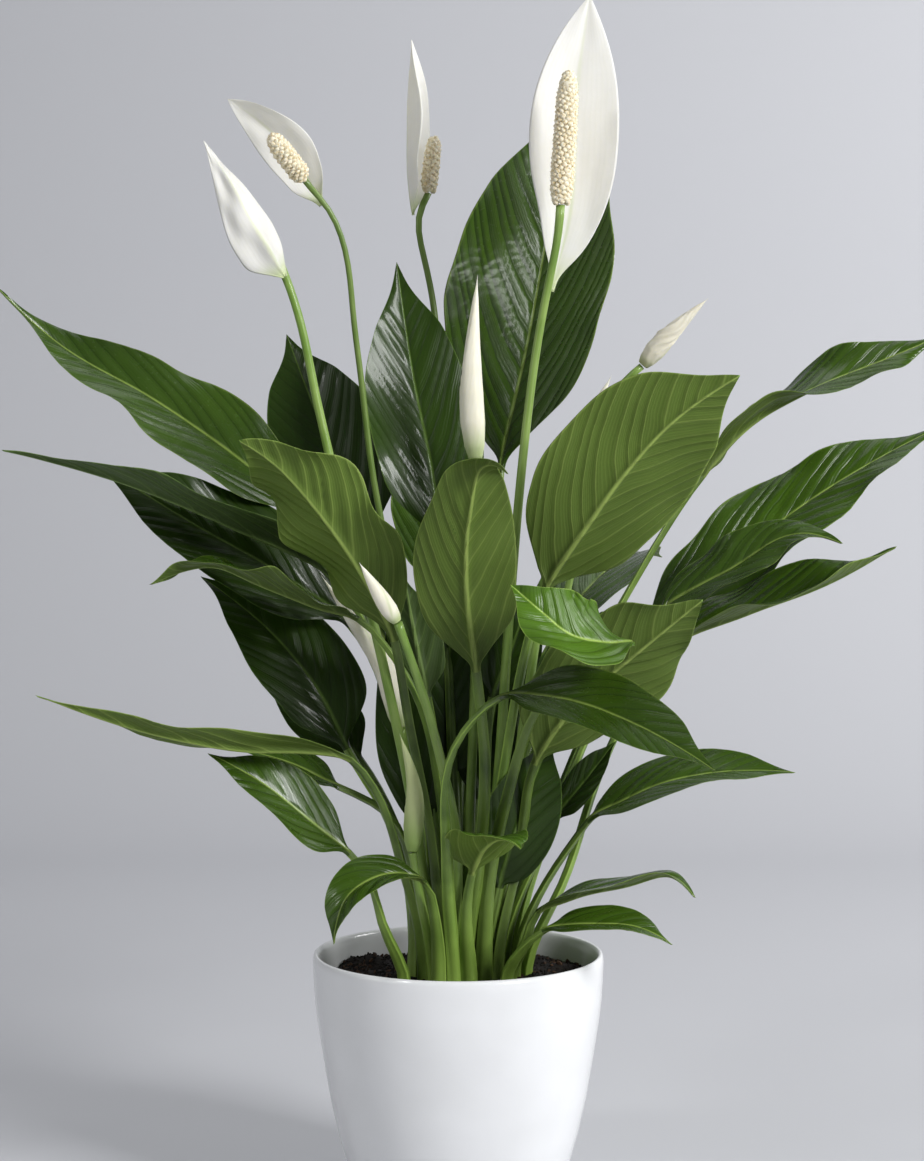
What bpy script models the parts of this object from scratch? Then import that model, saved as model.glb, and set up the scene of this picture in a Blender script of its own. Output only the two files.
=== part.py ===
"""A potted peace lily: a glazed pot, potting soil, lofted leaves, open blooms and unopened buds.

Lengths in the tables are millimetres; the scene is built in metres, +Z up, the pot standing on z = 0
with its axis on the origin. The side with most blooms faces -Y.
"""
import math
from dataclasses import dataclass

import bpy
from mathutils import Vector

MM = 0.001
COLLECTION = "potted_peace_lily"
CUTTERS = "cutters"
CURVE_SAMPLES = 24

# pot and soil
POT_HEIGHT = 135.0
POT_FLOOR = 6.0
POT_OUTER = (
    (43.0, 0.0), (47.0, 2.5), (52.5, 10.0), (58.5, 23.5), (63.2, 40.0), (67.2, 58.0),
    (70.6, 78.0), (73.6, 97.0), (75.2, 110.0), (75.9, 124.0), (76.2, 131.0), (75.4, 134.2),
)
POT_FLOOR_RADIUS = 38.0
POT_INNER = (
    (44.0, 9.0), (55.2, 26.0), (62.4, 52.0), (67.6, 82.0), (71.2, 110.0), (72.2, 130.0),
)
POT_LIP = ((74.2, POT_HEIGHT), (72.8, 133.6))
TURNED_STEPS = 40
AXIS_MERGE = 0.00001
GAP = 0.3
SOIL_TOP = 120.0
SOIL_CROWN = ((0.0, 2.5), (36.0, 2.0), (58.0, 0.6))
SOCKET_DEPTH = 12.0
CUTTER_RISE = 20.0
SOCKET_SIDES = 6

# crown: the feet of all the stems stand apart in the soil
FOOT_SPACING = 8.2
CROWN_FOCUS_DEPTH = 85.0
CROWN_ROUNDS = 400
FOOT_STRAIGHT = 5.0

# leaf sections
FOOT_RADIUS = 3.0
HEEL_RADIUS = 1.8
BLADE_HALF_THICKNESS = 0.4
KEEL_DEPTH = 2.2
KEEL_TIP_DEPTH = 0.5
KEEL_SHOULDER = 2.4
KEEL_SHOULDER_SHARE = 0.5
KEEL_SHOULDER_DROP = 1.05
HALF_STATION = 0.55
PETIOLE_STATIONS = (0.25, 0.5, 0.75, 0.92)
BLADE_STATIONS = (0.0, 0.07, 0.17, 0.29, 0.42, 0.55, 0.68, 0.81, 0.93)
BLADE_BLEND = (0.0, 0.55, 1.0)
BASE_POWER = 0.75
INWARD_SHARE = 0.6
UNDER_FROM = 4
RING_ANGLES = (180.0, 135.0, 90.0, 45.0, 0.0, -30.0, -60.0, -90.0, -120.0, -150.0)

# bloom sections
STEM_FOOT_RADIUS = 2.9
STEM_TOP_RADIUS = 2.0
STEM_RING_SPACING = 32.0
STEM_RESOLUTION = 2
TOP_GAP = 1.0
SPATHE_HEEL_RADIUS = 1.4
SPATHE_HALF_THICKNESS = 0.45
ROUND_RESOLUTION = 4
SPATHE_STATIONS = (0.0, 0.05, 0.13, 0.23, 0.35, 0.48, 0.61, 0.74, 0.86, 0.95)
SPATHE_BLEND = (0.0, 0.6, 1.0)
SPATHE_KEEL = 0.5
SPADIX_PROFILE = (
    (0.0, 0.62), (0.07, 0.9), (0.3, 1.0), (0.62, 0.94), (0.86, 0.74), (0.96, 0.45), (1.0, 0.18),
)
BUD_PROFILE = (
    (0.0, 0.55), (0.07, 0.82), (0.2, 1.0), (0.36, 0.96), (0.52, 0.8), (0.68, 0.56), (0.83, 0.32),
    (0.95, 0.13), (1.0, 0.04),
)


@dataclass(frozen=True)
class Leaf:
    """One leaf, petiole and blade grown as one piece: points in mm from the soil to the tip."""

    name: str
    petiole: tuple
    blade: tuple
    half: float
    face: tuple = ()
    face_tip: tuple = ()
    fold: float = 12.0
    tip_power: float = 1.05


@dataclass(frozen=True)
class Bloom:
    """An open bloom: its stem up to the spadix, its spadix, and its spathe from base to tip."""

    name: str
    stem: tuple
    spadix_tip: tuple
    spadix_radius: float
    spathe: tuple
    spathe_half: float
    spathe_face: tuple
    spathe_fold: float
    base_power: float
    tip_power: float


@dataclass(frozen=True)
class Bud:
    """A closed bud on its stem: stem points, then points from the bud's foot to its tip."""

    name: str
    stem: tuple
    bud: tuple
    radius: float
    kind: str


LEAVES = (
    Leaf(
        "leaf_back_centre", ((6, 30, 230), (18, 42, 315)),
        ((23, 54, 385), (38, 74, 455), (50, 88, 520), (64, 100, 592)),
        54, tip_power=0.8,
    ),
    Leaf(
        "leaf_inner_left", ((-3, 10, 235),),
        ((-9, 24, 345), (-14, 31, 385), (-24, 42, 435), (-33, 50, 497)),
        31, (0.2, -1, 0.3),
    ),
    Leaf(
        "leaf_back_left", ((-24, 28, 230),),
        ((-46, 58, 350), (-73, 75, 405), (-95, 92, 460)),
        33, (0, -1, 0.3),
    ),
    Leaf(
        "leaf_upper_left", ((-31, 24, 235), (-55, 33, 317)),
        ((-78, 34, 358), (-117, 34, 392), (-168, 33, 427), (-208, 29, 450), (-243, 18, 483)),
        28, (0, -0.7, 0.8), tip_power=1.4,
    ),
    Leaf(
        "leaf_mid_left_rear", ((-26, 12, 220),),
        ((-57, 20, 304), (-94, 15, 332), (-135, 8, 356), (-188, -2, 390)),
        30, (0, -0.75, 0.66),
    ),
    Leaf(
        "leaf_mid_left_level", ((-34, 6, 272),),
        ((-65, 1, 330), (-116, -18, 358), (-174, -32, 382), (-229, -45, 397)),
        24, (0, 0.05, 1), fold=20,
    ),
    Leaf(
        "leaf_wavy_left",
        ((-9, -20, 216), (-16, -24, 260), (-28, -27, 283)),
        ((-51, -30, 311), (-71, -33, 318), (-102, -36, 330), (-121, -38, 338), (-156, -40, 329)),
        22, (0, 0.1, 1),
    ),
    Leaf(
        "leaf_dark_left", ((-34, -1, 198),),
        ((-58, 5, 240), (-72, 10, 268), (-96, 15, 298), (-136, 20, 330)),
        27, (0, -0.7, 0.7),
    ),
    Leaf(
        "leaf_dark_left_rear", ((-30, 11, 191),),
        ((-52, 22, 232), (-74, 30, 255), (-105, 38, 287)),
        20, (0, -0.7, 0.7),
    ),
    Leaf(
        "leaf_long_left", ((-30, -38, 190), (-46, -50, 233)),
        ((-54, -54, 242), (-72, -60, 247), (-107, -68, 249), (-149, -78, 258), (-206, -88, 278)),
        16, (0, 0.42, 0.9), tip_power=1.3,
    ),
    Leaf(
        "leaf_short_left", ((-40, -20, 213),),
        ((-61, -24, 224), (-86, -28, 237), (-110, -32, 244)),
        14, (0, -0.4, 0.9),
    ),
    Leaf(
        "leaf_lower_left", ((-37, -34, 150), (-48, -42, 185)),
        ((-55, -44, 193), (-75, -50, 211), (-99, -56, 231), (-125, -60, 246)),
        19, (0, -0.6, 0.8),
    ),
    Leaf(
        "leaf_drooping_left", ((-12, -46, 161),),
        ((-17, -58, 181), (-36, -72, 187), (-54, -82, 178), (-61, -88, 155)),
        15, (-0.3, -0.6, 1), (-0.8, -0.7, 0.3), fold=18,
    ),
    Leaf(
        "leaf_small_front", ((4, -38, 158),),
        ((7, -46, 183), (13, -57, 198), (22, -72, 205), (31, -86, 202)),
        15,
    ),
    Leaf(
        "leaf_lower_right_edge", ((34, -26, 142),),
        ((41, -32, 161), (55, -38, 169), (87, -48, 178), (107, -54, 183), (119, -60, 173)),
        16, (0, 0, 1),
    ),
    Leaf(
        "leaf_rim_right", ((30, -42, 140),),
        ((43, -52, 155), (70, -60, 160), (90, -64, 159), (107, -68, 151)),
        14, (0, -0.3, 1),
    ),
    Leaf(
        "leaf_lower_right", ((42, -10, 166), (60, -14, 195)),
        ((67, -16, 205), (86, -20, 217), (105, -24, 226), (132, -28, 232), (172, -34, 233)),
        22, (0, -0.35, 0.9),
    ),
    Leaf(
        "leaf_inner_right_low", ((42, -4, 187),),
        ((50, -6, 204), (66, -8, 225), (82, -8, 246)),
        11, (0, -0.5, 0.8),
    ),
    Leaf(
        "leaf_front_right_low", ((32, -24, 191),),
        ((39, -40, 238), (55, -52, 265), (90, -68, 298), (120, -80, 324)),
        30, (0, 0.9, 0.45), tip_power=0.8,
    ),
    Leaf(
        "leaf_right",
        ((55, -2, 172), (74, 4, 227), (95, 8, 271)),
        ((112, 10, 294), (152, 6, 312), (189, 0, 326), (227, -6, 347)),
        24, (0, -0.25, 1), fold=24,
    ),
    Leaf(
        "leaf_right_big", ((46, 14, 196), (76, 26, 264)),
        ((98, 34, 295), (139, 47, 329), (179, 57, 361), (212, 65, 382), (268, 76, 411)),
        30, (0, -0.5, 0.85),
    ),
    Leaf(
        "leaf_right_curled", ((54, 6, 213), (85, 12, 281)),
        ((106, 16, 311), (143, 14, 334), (179, 8, 353), (200, 0, 348)),
        20, (0, -0.5, 0.85),
    ),
    Leaf(
        "leaf_upper_right", ((46, 32, 232), (92, 42, 322)),
        ((131, 48, 382), (154, 52, 408), (193, 58, 430), (231, 64, 445), (265, 70, 459)),
        24, (0, 0.5, 0.85), (0, -0.9, 0.6),
    ),
    Leaf(
        "leaf_front_right", ((21, -28, 218), (31, -44, 281)),
        ((43, -56, 326), (65, -70, 362), (84, -82, 389), (104, -92, 411), (135, -104, 433)),
        38, (-0.2, 1, 0.2), tip_power=0.85,
    ),
    Leaf(
        "leaf_front_centre", ((12, -46, 202), (13, -61, 251)),
        ((9, -72, 288), (4, -86, 334), (6, -97, 368), (13, -110, 391), (24, -126, 386)),
        26, (0, 1, 0.3), (0, 0.7, 1), tip_power=1.15,
    ),
    Leaf(
        "leaf_front_left", ((-17, -28, 218), (-27, -39, 270)),
        ((-32, -46, 301), (-48, -58, 336), (-69, -68, 367), (-89, -80, 390), (-106, -90, 402)),
        28, (0.2, 0.8, 0.6), tip_power=0.65,
    ),
    Leaf(
        "leaf_young_folded", ((24, -50, 221), (48, -76, 281)),
        ((84, -98, 304), (71, -106, 305), (54, -111, 309), (40, -112, 320), (25, -108, 333)),
        16, (0.2, -0.5, 0.85), (0, -0.9, 0.5), fold=16,
    ),
    Leaf(
        "leaf_arching_right", ((-6, -59, 199), (-2, -76, 250)),
        ((21, -90, 277), (49, -104, 278), (87, -122, 266), (121, -136, 247)),
        20, (0, -0.5, 0.85),
    ),
    Leaf(
        "leaf_inner_centre", ((14, -2, 216),),
        ((18, -3, 268), (28, -3, 294), (38, -2, 325)),
        16, (0, -1, 0.2),
    ),
    Leaf(
        "leaf_inner_left_low", ((-7, -8, 206),),
        ((-16, -12, 269), (-22, -14, 300), (-28, -18, 333)),
        14, (0, 1, 0.2),
    ),
    Leaf(
        "leaf_rear_centre", ((0, 42, 230),),
        ((0, 74, 310), (-4, 105, 355), (-8, 140, 380), (-12, 178, 384)),
        34,
    ),
    Leaf(
        "leaf_rear_right", ((22, 36, 225),),
        ((50, 64, 290), (75, 95, 322), (98, 125, 336), (118, 152, 334)),
        30,
    ),
    Leaf(
        "leaf_rear_left", ((-16, 44, 225),),
        ((-40, 70, 290), (-62, 100, 325), (-82, 130, 342), (-104, 160, 344)),
        28,
    ),
    Leaf(
        "leaf_rear_low", ((6, 42, 160),),
        ((8, 70, 195), (12, 100, 215), (16, 132, 220), (18, 162, 210)),
        24,
    ),
)

BLOOMS = (
    Bloom(
        "bloom_tall",
        (
            (18, -10, 200), (27, -13, 320), (33, -14, 390), (42, -12, 459), (47, -14, 485),
            (51, -19, 508), (52, -22, 521),
        ),
        (56, -26, 587), 6.0,
        ((48, -5, 478), (58, -1, 520), (60, 4, 567), (68, 6, 631)),
        24, (0, -1, 0.1), 14, 1.15, 1.0,
    ),
    Bloom(
        "bloom_tilted",
        (
            (-20, 8, 266), (-44, 6, 381), (-54, 0, 464), (-60, -6, 506), (-68, -9, 522),
            (-74, -12, 529), (-79, -18, 535),
        ),
        (-93, -42, 553), 5.4,
        ((-70, -6, 522), (-84, 0, 548), (-101, 6, 565), (-120, 14, 579)),
        14, (-0.3, -1, -0.1), 22, 0.75, 1.05,
    ),
    Bloom(
        "bloom_half_closed",
        (
            (-40, -22, 294), (-62, -24, 379), (-73, -26, 428), (-79, -28, 458),
            (-88, -28, 486), (-93, -25, 497),
        ),
        (-110, -18, 524), 4.6,
        ((-87, -33, 484), (-101, -41, 508), (-114, -44, 531), (-127, -44, 551)),
        16, (-0.5, 0.85, 0), 38, 0.5, 1.2,
    ),
    Bloom(
        "bloom_side_on",
        (
            (-4, 40, 262), (-10, 58, 396), (-14, 62, 478), (-19, 64, 502), (-21, 64, 523),
            (-16, 63, 535),
        ),
        (-13, 61, 564), 4.6,
        ((-25, 64, 523), (-28, 66, 550), (-28, 66, 580), (-25, 64, 617)),
        19, (1, -0.2, 0), 38, 0.75, 1.05,
    ),
)

BUDS = (
    Bud(
        "bud_white_centre", ((9, 0, 298),),
        ((9, -2, 392), (7, -2, 433), (10, 0, 486)),
        6.3, "white",
    ),
    Bud(
        "bud_aged_right",
        ((53, -12, 309), (73, -16, 397), (82, -20, 428)),
        ((94, -24, 440), (107, -28, 455), (126, -32, 473)),
        7.0, "aged",
    ),
    Bud(
        "bud_small_right", ((27, -20, 210), (39, -26, 295)), ((52, -30, 382), (77, -40, 434)),
        5.0, "white",
    ),
    Bud(
        "bud_small_left",
        ((-1, -48, 203), (-9, -58, 244), (-15, -66, 268)),
        ((-30, -76, 313), (-38, -80, 326), (-48, -83, 342)),
        4.3, "green",
    ),
    Bud(
        "bud_long_left", ((-22, -8, 199),),
        ((-30, -8, 253), (-39, -8, 286), (-53, -12, 307), (-70, -17, 332)),
        6.0, "green",
    ),
    Bud(
        "bud_green_low", ((-19, -44, 169),),
        ((-23, -48, 195), (-22, -52, 226), (-29, -58, 255)),
        5.0, "green",
    ),
)

COLOURS = {
    "pot": ((0.86, 0.87, 0.88, 1.0), 0.12),
    "soil": ((0.035, 0.02, 0.014, 1.0), 0.95),
    "leaf": ((0.035, 0.13, 0.02, 1.0), 0.32),
    "stem": ((0.2, 0.36, 0.07, 1.0), 0.4),
    "spathe": ((0.88, 0.88, 0.8, 1.0), 0.5),
    "spadix": ((0.8, 0.66, 0.4, 1.0), 0.8),
    "white": ((0.84, 0.86, 0.7, 1.0), 0.5),
    "aged": ((0.62, 0.54, 0.36, 1.0), 0.6),
    "green": ((0.4, 0.5, 0.14, 1.0), 0.5),
}


class Curve:
    """A smooth line through points, read by the distance along it."""

    def __init__(self, points, lead=None):
        """Sample the line through the points, setting off along lead if it is given."""
        self.points = [Vector(p) for p in points]
        self.samples = [self.points[0]]
        self.marks = [0.0]
        self.lengths = [0.0]
        chords = [(b - a).length for a, b in zip(self.points, self.points[1:])]
        slopes = self._slopes(chords, lead)
        for i, chord in enumerate(chords):
            self._segment(i, chord, slopes)
            self.marks.append(self.lengths[-1])

    def _slopes(self, chords, lead):
        """The direction of travel at each point, leaning towards the shorter neighbour."""
        pts = self.points
        steps = [(b - a) / c for a, b, c in zip(pts, pts[1:], chords)]
        slopes = [lead.normalized() if lead else steps[0]]
        for i in range(1, len(steps)):
            total = chords[i - 1] + chords[i]
            slopes.append((steps[i - 1] * chords[i] + steps[i] * chords[i - 1]) / total)
        slopes.append(steps[-1] * 1.5 - slopes[-1] * 0.5)
        return slopes

    def _segment(self, i, chord, slopes):
        """Sample the piece of line between two of its points."""
        a = self.points[i]
        b = self.points[i + 1]
        for k in range(1, CURVE_SAMPLES + 1):
            t = k / CURVE_SAMPLES
            h1 = 2 * t ** 3 - 3 * t ** 2 + 1
            h2 = t ** 3 - 2 * t ** 2 + t
            h3 = 3 * t ** 2 - 2 * t ** 3
            h4 = t ** 3 - t ** 2
            p = a * h1 + slopes[i] * (h2 * chord) + b * h3 + slopes[i + 1] * (h4 * chord)
            self.lengths.append(self.lengths[-1] + (p - self.samples[-1]).length)
            self.samples.append(p)

    def at(self, distance):
        """Return the point and the direction at a distance along the line."""
        n = len(self.lengths) - 1
        i = next((k for k in range(n) if self.lengths[k + 1] >= distance), n - 1)
        a = self.samples[i]
        b = self.samples[i + 1]
        share = (distance - self.lengths[i]) / (self.lengths[i + 1] - self.lengths[i])
        before = self.samples[max(0, i - 1)]
        after = self.samples[min(n, i + 2)]
        start = (b - before).normalized()
        end = (after - a).normalized()
        return a.lerp(b, min(1.0, max(0.0, share))), start.lerp(end, share).normalized()


def make_material(name):
    """A plain material from the colour table, to tell the solids apart."""
    colour, roughness = COLOURS[name]
    material = bpy.data.materials.new(name)
    material.use_nodes = True
    shader = material.node_tree.nodes["Principled BSDF"]
    shader.inputs["Base Color"].default_value = colour
    shader.inputs["Roughness"].default_value = roughness
    shader.inputs["Metallic"].default_value = 0.0
    return material


def make_object(name, verts, faces, material, collection):
    """A mesh object from points in mm."""
    mesh = bpy.data.meshes.new(name)
    mesh.from_pydata([tuple(Vector(v) * MM) for v in verts], [], faces)
    if material:
        mesh.materials.append(material)
    obj = bpy.data.objects.new(name, mesh)
    collection.objects.link(obj)
    return obj


def loft(rings, foot, tip):
    """Skin a blade's rings with triangles, closed by one point at each end.

    Beneath, each quad is split the other way, so the two sides of a twisted blade match.
    """
    count = len(rings[0])
    verts = [p for ring in rings for p in ring] + [foot, tip]
    last = (len(rings) - 1) * count
    foot_index = len(verts) - 2
    tip_index = len(verts) - 1
    faces = []
    for k in range(len(rings) - 1):
        for i in range(count):
            j = (i + 1) % count
            a = k * count + i
            b = k * count + j
            if i < UNDER_FROM:
                faces.append((a, b, b + count))
                faces.append((a, b + count, a + count))
            else:
                faces.append((a, b, a + count))
                faces.append((b, b + count, a + count))
    for i in range(count):
        j = (i + 1) % count
        faces.append((foot_index, j, i))
        faces.append((last + i, last + j, tip_index))
    return verts, faces


def disc_ring(centre, normal, side, radius, angles):
    """Points round a disc, at angles in degrees from the side towards the upper side."""
    turns = [math.radians(angle) for angle in angles]
    return [
        centre + side * (radius * math.cos(turn)) + normal * (radius * math.sin(turn))
        for turn in turns
    ]


def blade_ring(centre, normal, side, half, fold, keel, thickness):
    """Ten points round a blade: both edges, three points on the upper side, five beneath."""
    rise = math.sin(math.radians(fold))
    reach = math.cos(math.radians(fold))
    near = half * HALF_STATION
    shoulder = min(KEEL_SHOULDER, near * KEEL_SHOULDER_SHARE)
    drop = -thickness * KEEL_SHOULDER_DROP

    def point(across, offset):
        return centre + side * (across * reach) + normal * (abs(across) * rise + offset)

    return [
        point(-half, 0.0),
        point(-near, thickness),
        point(0.0, thickness),
        point(near, thickness),
        point(half, 0.0),
        point(near, -thickness),
        point(shoulder, drop),
        point(0.0, -thickness - keel),
        point(-shoulder, drop),
        point(-near, -thickness),
    ]


def frame_at(direction, reference):
    """Return the upper-side normal and the side vector for a direction along the leaf."""
    normal = (reference - direction * reference.dot(direction)).normalized()
    return normal, direction.cross(normal)


def width_share(t, base_power, tip_power):
    """Share of the full width at a share of the length: one at the belly, none at the tip."""
    peak = base_power / (base_power + tip_power)
    return (t / peak) ** base_power * ((1 - t) / (1 - peak)) ** tip_power


def inward_reference(tip):
    """Up and towards the axis of the plant, for a leaf whose tip leans out."""
    inward = Vector((-tip.x, -tip.y, 0.0)).normalized()
    return Vector((0.0, 0.0, 1.0)) + inward * INWARD_SHARE


def blade_reference(leaf, share, tip):
    """The way the upper side is turned along the blade: inwards and up unless the leaf says."""
    if not leaf.face:
        return inward_reference(tip)
    start = Vector(leaf.face).normalized()
    end = Vector(leaf.face_tip).normalized() if leaf.face_tip else start
    return start.lerp(end, share)


def leaf_solid(leaf, foot):
    """A leaf from its socket to its tip: a round petiole opening into a folded, keeled blade."""
    up = Vector((0.0, 0.0, 1.0))
    base = Vector((foot.x, foot.y, SOIL_TOP - SOCKET_DEPTH + GAP))
    top = Vector((foot.x, foot.y, SOIL_TOP + FOOT_STRAIGHT))
    curve = Curve([top, *leaf.petiole, *leaf.blade], up)
    heel = curve.marks[1 + len(leaf.petiole)]
    total = curve.lengths[-1]
    tip = curve.samples[-1]
    start_normal, start_side = frame_at(up, inward_reference(tip))
    rings = [
        disc_ring(base, start_normal, start_side, FOOT_RADIUS, RING_ANGLES),
        disc_ring(top, start_normal, start_side, FOOT_RADIUS, RING_ANGLES),
    ]
    for share in PETIOLE_STATIONS:
        centre, direction = curve.at(share * heel)
        inward = inward_reference(tip).normalized()
        turned_to = inward.lerp(blade_reference(leaf, 0.0, tip).normalized(), share ** 2)
        normal, side = frame_at(direction, turned_to)
        radius = FOOT_RADIUS + (HEEL_RADIUS - FOOT_RADIUS) * share
        rings.append(disc_ring(centre, normal, side, radius, RING_ANGLES))
    for index, t in enumerate(BLADE_STATIONS):
        centre, direction = curve.at(heel + t * (total - heel))
        normal, side = frame_at(direction, blade_reference(leaf, t, tip))
        keel = KEEL_DEPTH + (KEEL_TIP_DEPTH - KEEL_DEPTH) * t
        half = max(HEEL_RADIUS, leaf.half * width_share(t, BASE_POWER, leaf.tip_power))
        flat = blade_ring(centre, normal, side, half, leaf.fold, keel, BLADE_HALF_THICKNESS)
        blend = BLADE_BLEND[min(index, len(BLADE_BLEND) - 1)]
        round_ring = disc_ring(centre, normal, side, HEEL_RADIUS, RING_ANGLES)
        rings.append([a.lerp(b, blend) for a, b in zip(round_ring, flat)])
    return loft(rings, base, tip)


def spathe_solid(bloom):
    """The spathe of a bloom: a cupped blade from a round heel to a point."""
    curve = Curve(bloom.spathe)
    face = Vector(bloom.spathe_face)
    rings = []
    for index, t in enumerate(SPATHE_STATIONS):
        centre, direction = curve.at(t * curve.lengths[-1])
        normal, side = frame_at(direction, face)
        share = width_share(t, bloom.base_power, bloom.tip_power)
        half = max(SPATHE_HEEL_RADIUS, bloom.spathe_half * share)
        flat = blade_ring(
            centre, normal, side, half, bloom.spathe_fold, SPATHE_KEEL, SPATHE_HALF_THICKNESS
        )
        blend = SPATHE_BLEND[min(index, len(SPATHE_BLEND) - 1)]
        round_ring = disc_ring(centre, normal, side, SPATHE_HEEL_RADIUS, RING_ANGLES)
        rings.append([a.lerp(b, blend) for a, b in zip(round_ring, flat)])
    return loft(rings, curve.points[0], curve.samples[-1])


def make_tube(name, stations, resolution, material, collection):
    """A round body along a line of stations, each a point and a radius in mm."""
    widest = max(radius for _, radius in stations)
    data = bpy.data.curves.new(name, "CURVE")
    data.dimensions = "3D"
    data.bevel_depth = widest * MM
    data.bevel_resolution = resolution
    data.use_fill_caps = True
    spline = data.splines.new("POLY")
    spline.points.add(len(stations) - 1)
    for point, (place, radius) in zip(spline.points, stations):
        point.co = (*(Vector(place) * MM), 1.0)
        point.radius = radius / widest
    data.materials.append(material)
    obj = bpy.data.objects.new(name, data)
    collection.objects.link(obj)
    return obj


def along(curve, profile, radius):
    """Stations of a body that swells and tapers along a curve, from shares of length and radius."""
    return [(curve.at(share * curve.lengths[-1])[0], radius * size) for share, size in profile]


def stem_stations(points, foot):
    """Stations of a flower stalk: upright in its socket, then tapering along its points."""
    base = Vector((foot.x, foot.y, SOIL_TOP - SOCKET_DEPTH + GAP))
    top = Vector((foot.x, foot.y, SOIL_TOP + FOOT_STRAIGHT))
    curve = Curve([top, *points], Vector((0.0, 0.0, 1.0)))
    stations = [(base, STEM_FOOT_RADIUS), (top, STEM_FOOT_RADIUS)]
    for before, after in zip(curve.marks, curve.marks[1:]):
        steps = max(1, round((after - before) / STEM_RING_SPACING))
        for k in range(1, steps + 1):
            distance = before + (after - before) * k / steps
            share = distance / curve.marks[-1]
            radius = STEM_FOOT_RADIUS + (STEM_TOP_RADIUS - STEM_FOOT_RADIUS) * share
            stations.append((curve.at(distance)[0], radius))
    return stations


def spread_feet(first_points):
    """Stand the feet in the soil under their stems, then push neighbours apart to the spacing."""
    feet = []
    for x, y, z in first_points:
        scale = CROWN_FOCUS_DEPTH / (z - SOIL_TOP + CROWN_FOCUS_DEPTH)
        feet.append(Vector((x * scale, y * scale)))
    for _ in range(CROWN_ROUNDS):
        for i, a in enumerate(feet):
            for j in range(i):
                b = feet[j]
                apart = a - b
                if apart.length < FOOT_SPACING:
                    push = apart.normalized() * ((FOOT_SPACING - apart.length) * 0.5)
                    feet[i] = feet[i] + push
                    feet[j] = feet[j] - push
                    a = feet[i]
    return feet


def turned(name, profile, material, collection):
    """Turn a profile, both ends on the axis, about Z."""
    verts = [(r * MM, 0.0, z * MM) for r, z in profile]
    edges = [(i, i + 1) for i in range(len(verts) - 1)]
    mesh = bpy.data.meshes.new(name)
    mesh.from_pydata(verts, edges, [])
    mesh.materials.append(material)
    obj = bpy.data.objects.new(name, mesh)
    collection.objects.link(obj)
    screw = obj.modifiers.new("turn", "SCREW")
    screw.axis = "Z"
    screw.angle = 2.0 * math.pi
    screw.steps = TURNED_STEPS
    screw.render_steps = TURNED_STEPS
    screw.use_merge_vertices = True
    screw.merge_threshold = AXIS_MERGE
    return obj


def make_pot(material, collection):
    """The pot: a hollow body turned from its inner wall, lip, outer wall and base."""
    inner = [(0.0, POT_FLOOR), (POT_FLOOR_RADIUS, POT_FLOOR), *POT_INNER]
    profile = [*inner, *reversed(POT_LIP), *reversed(POT_OUTER), (0.0, 0.0)]
    return turned("pot", profile, material, collection)


def make_soil(feet, radii, material, collection, cutters):
    """The soil, filling the pot to its top level, with a socket cut for every foot."""
    edge = [(r - GAP, z) for r, z in POT_INNER if z < SOIL_TOP]
    low = POT_INNER[-2]
    high = POT_INNER[-1]
    share = (SOIL_TOP - low[1]) / (high[1] - low[1])
    rim = low[0] + (high[0] - low[0]) * share - GAP
    profile = [
        *((radius, SOIL_TOP + rise) for radius, rise in SOIL_CROWN),
        (rim, SOIL_TOP), *reversed(edge),
        (POT_FLOOR_RADIUS - GAP, POT_FLOOR + GAP), (0.0, POT_FLOOR + GAP),
    ]
    soil = turned("potting_soil", profile, material, collection)
    verts = []
    faces = []
    for foot, radius in zip(feet, radii):
        start = len(verts)
        for z in (SOIL_TOP - SOCKET_DEPTH, SOIL_TOP + CUTTER_RISE):
            for k in range(SOCKET_SIDES):
                angle = 2.0 * math.pi * (k + 0.5) / SOCKET_SIDES
                reach = (radius + GAP) / math.cos(math.pi / SOCKET_SIDES)
                verts.append((foot.x + reach * math.cos(angle), foot.y + reach * math.sin(angle), z))
        low_ring = [start + k for k in range(SOCKET_SIDES)]
        high_ring = [start + SOCKET_SIDES + k for k in range(SOCKET_SIDES)]
        faces.append(tuple(reversed(low_ring)))
        faces.append(tuple(high_ring))
        for k in range(SOCKET_SIDES):
            j = (k + 1) % SOCKET_SIDES
            faces.append((low_ring[k], low_ring[j], high_ring[j], high_ring[k]))
    cutter = make_object("socket_cutter", verts, faces, None, cutters)
    cutter.hide_render = True
    cutter.display_type = "WIRE"
    cut = soil.modifiers.new("sockets", "BOOLEAN")
    cut.operation = "DIFFERENCE"
    cut.solver = "EXACT"
    cut.object = cutter
    return soil


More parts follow.
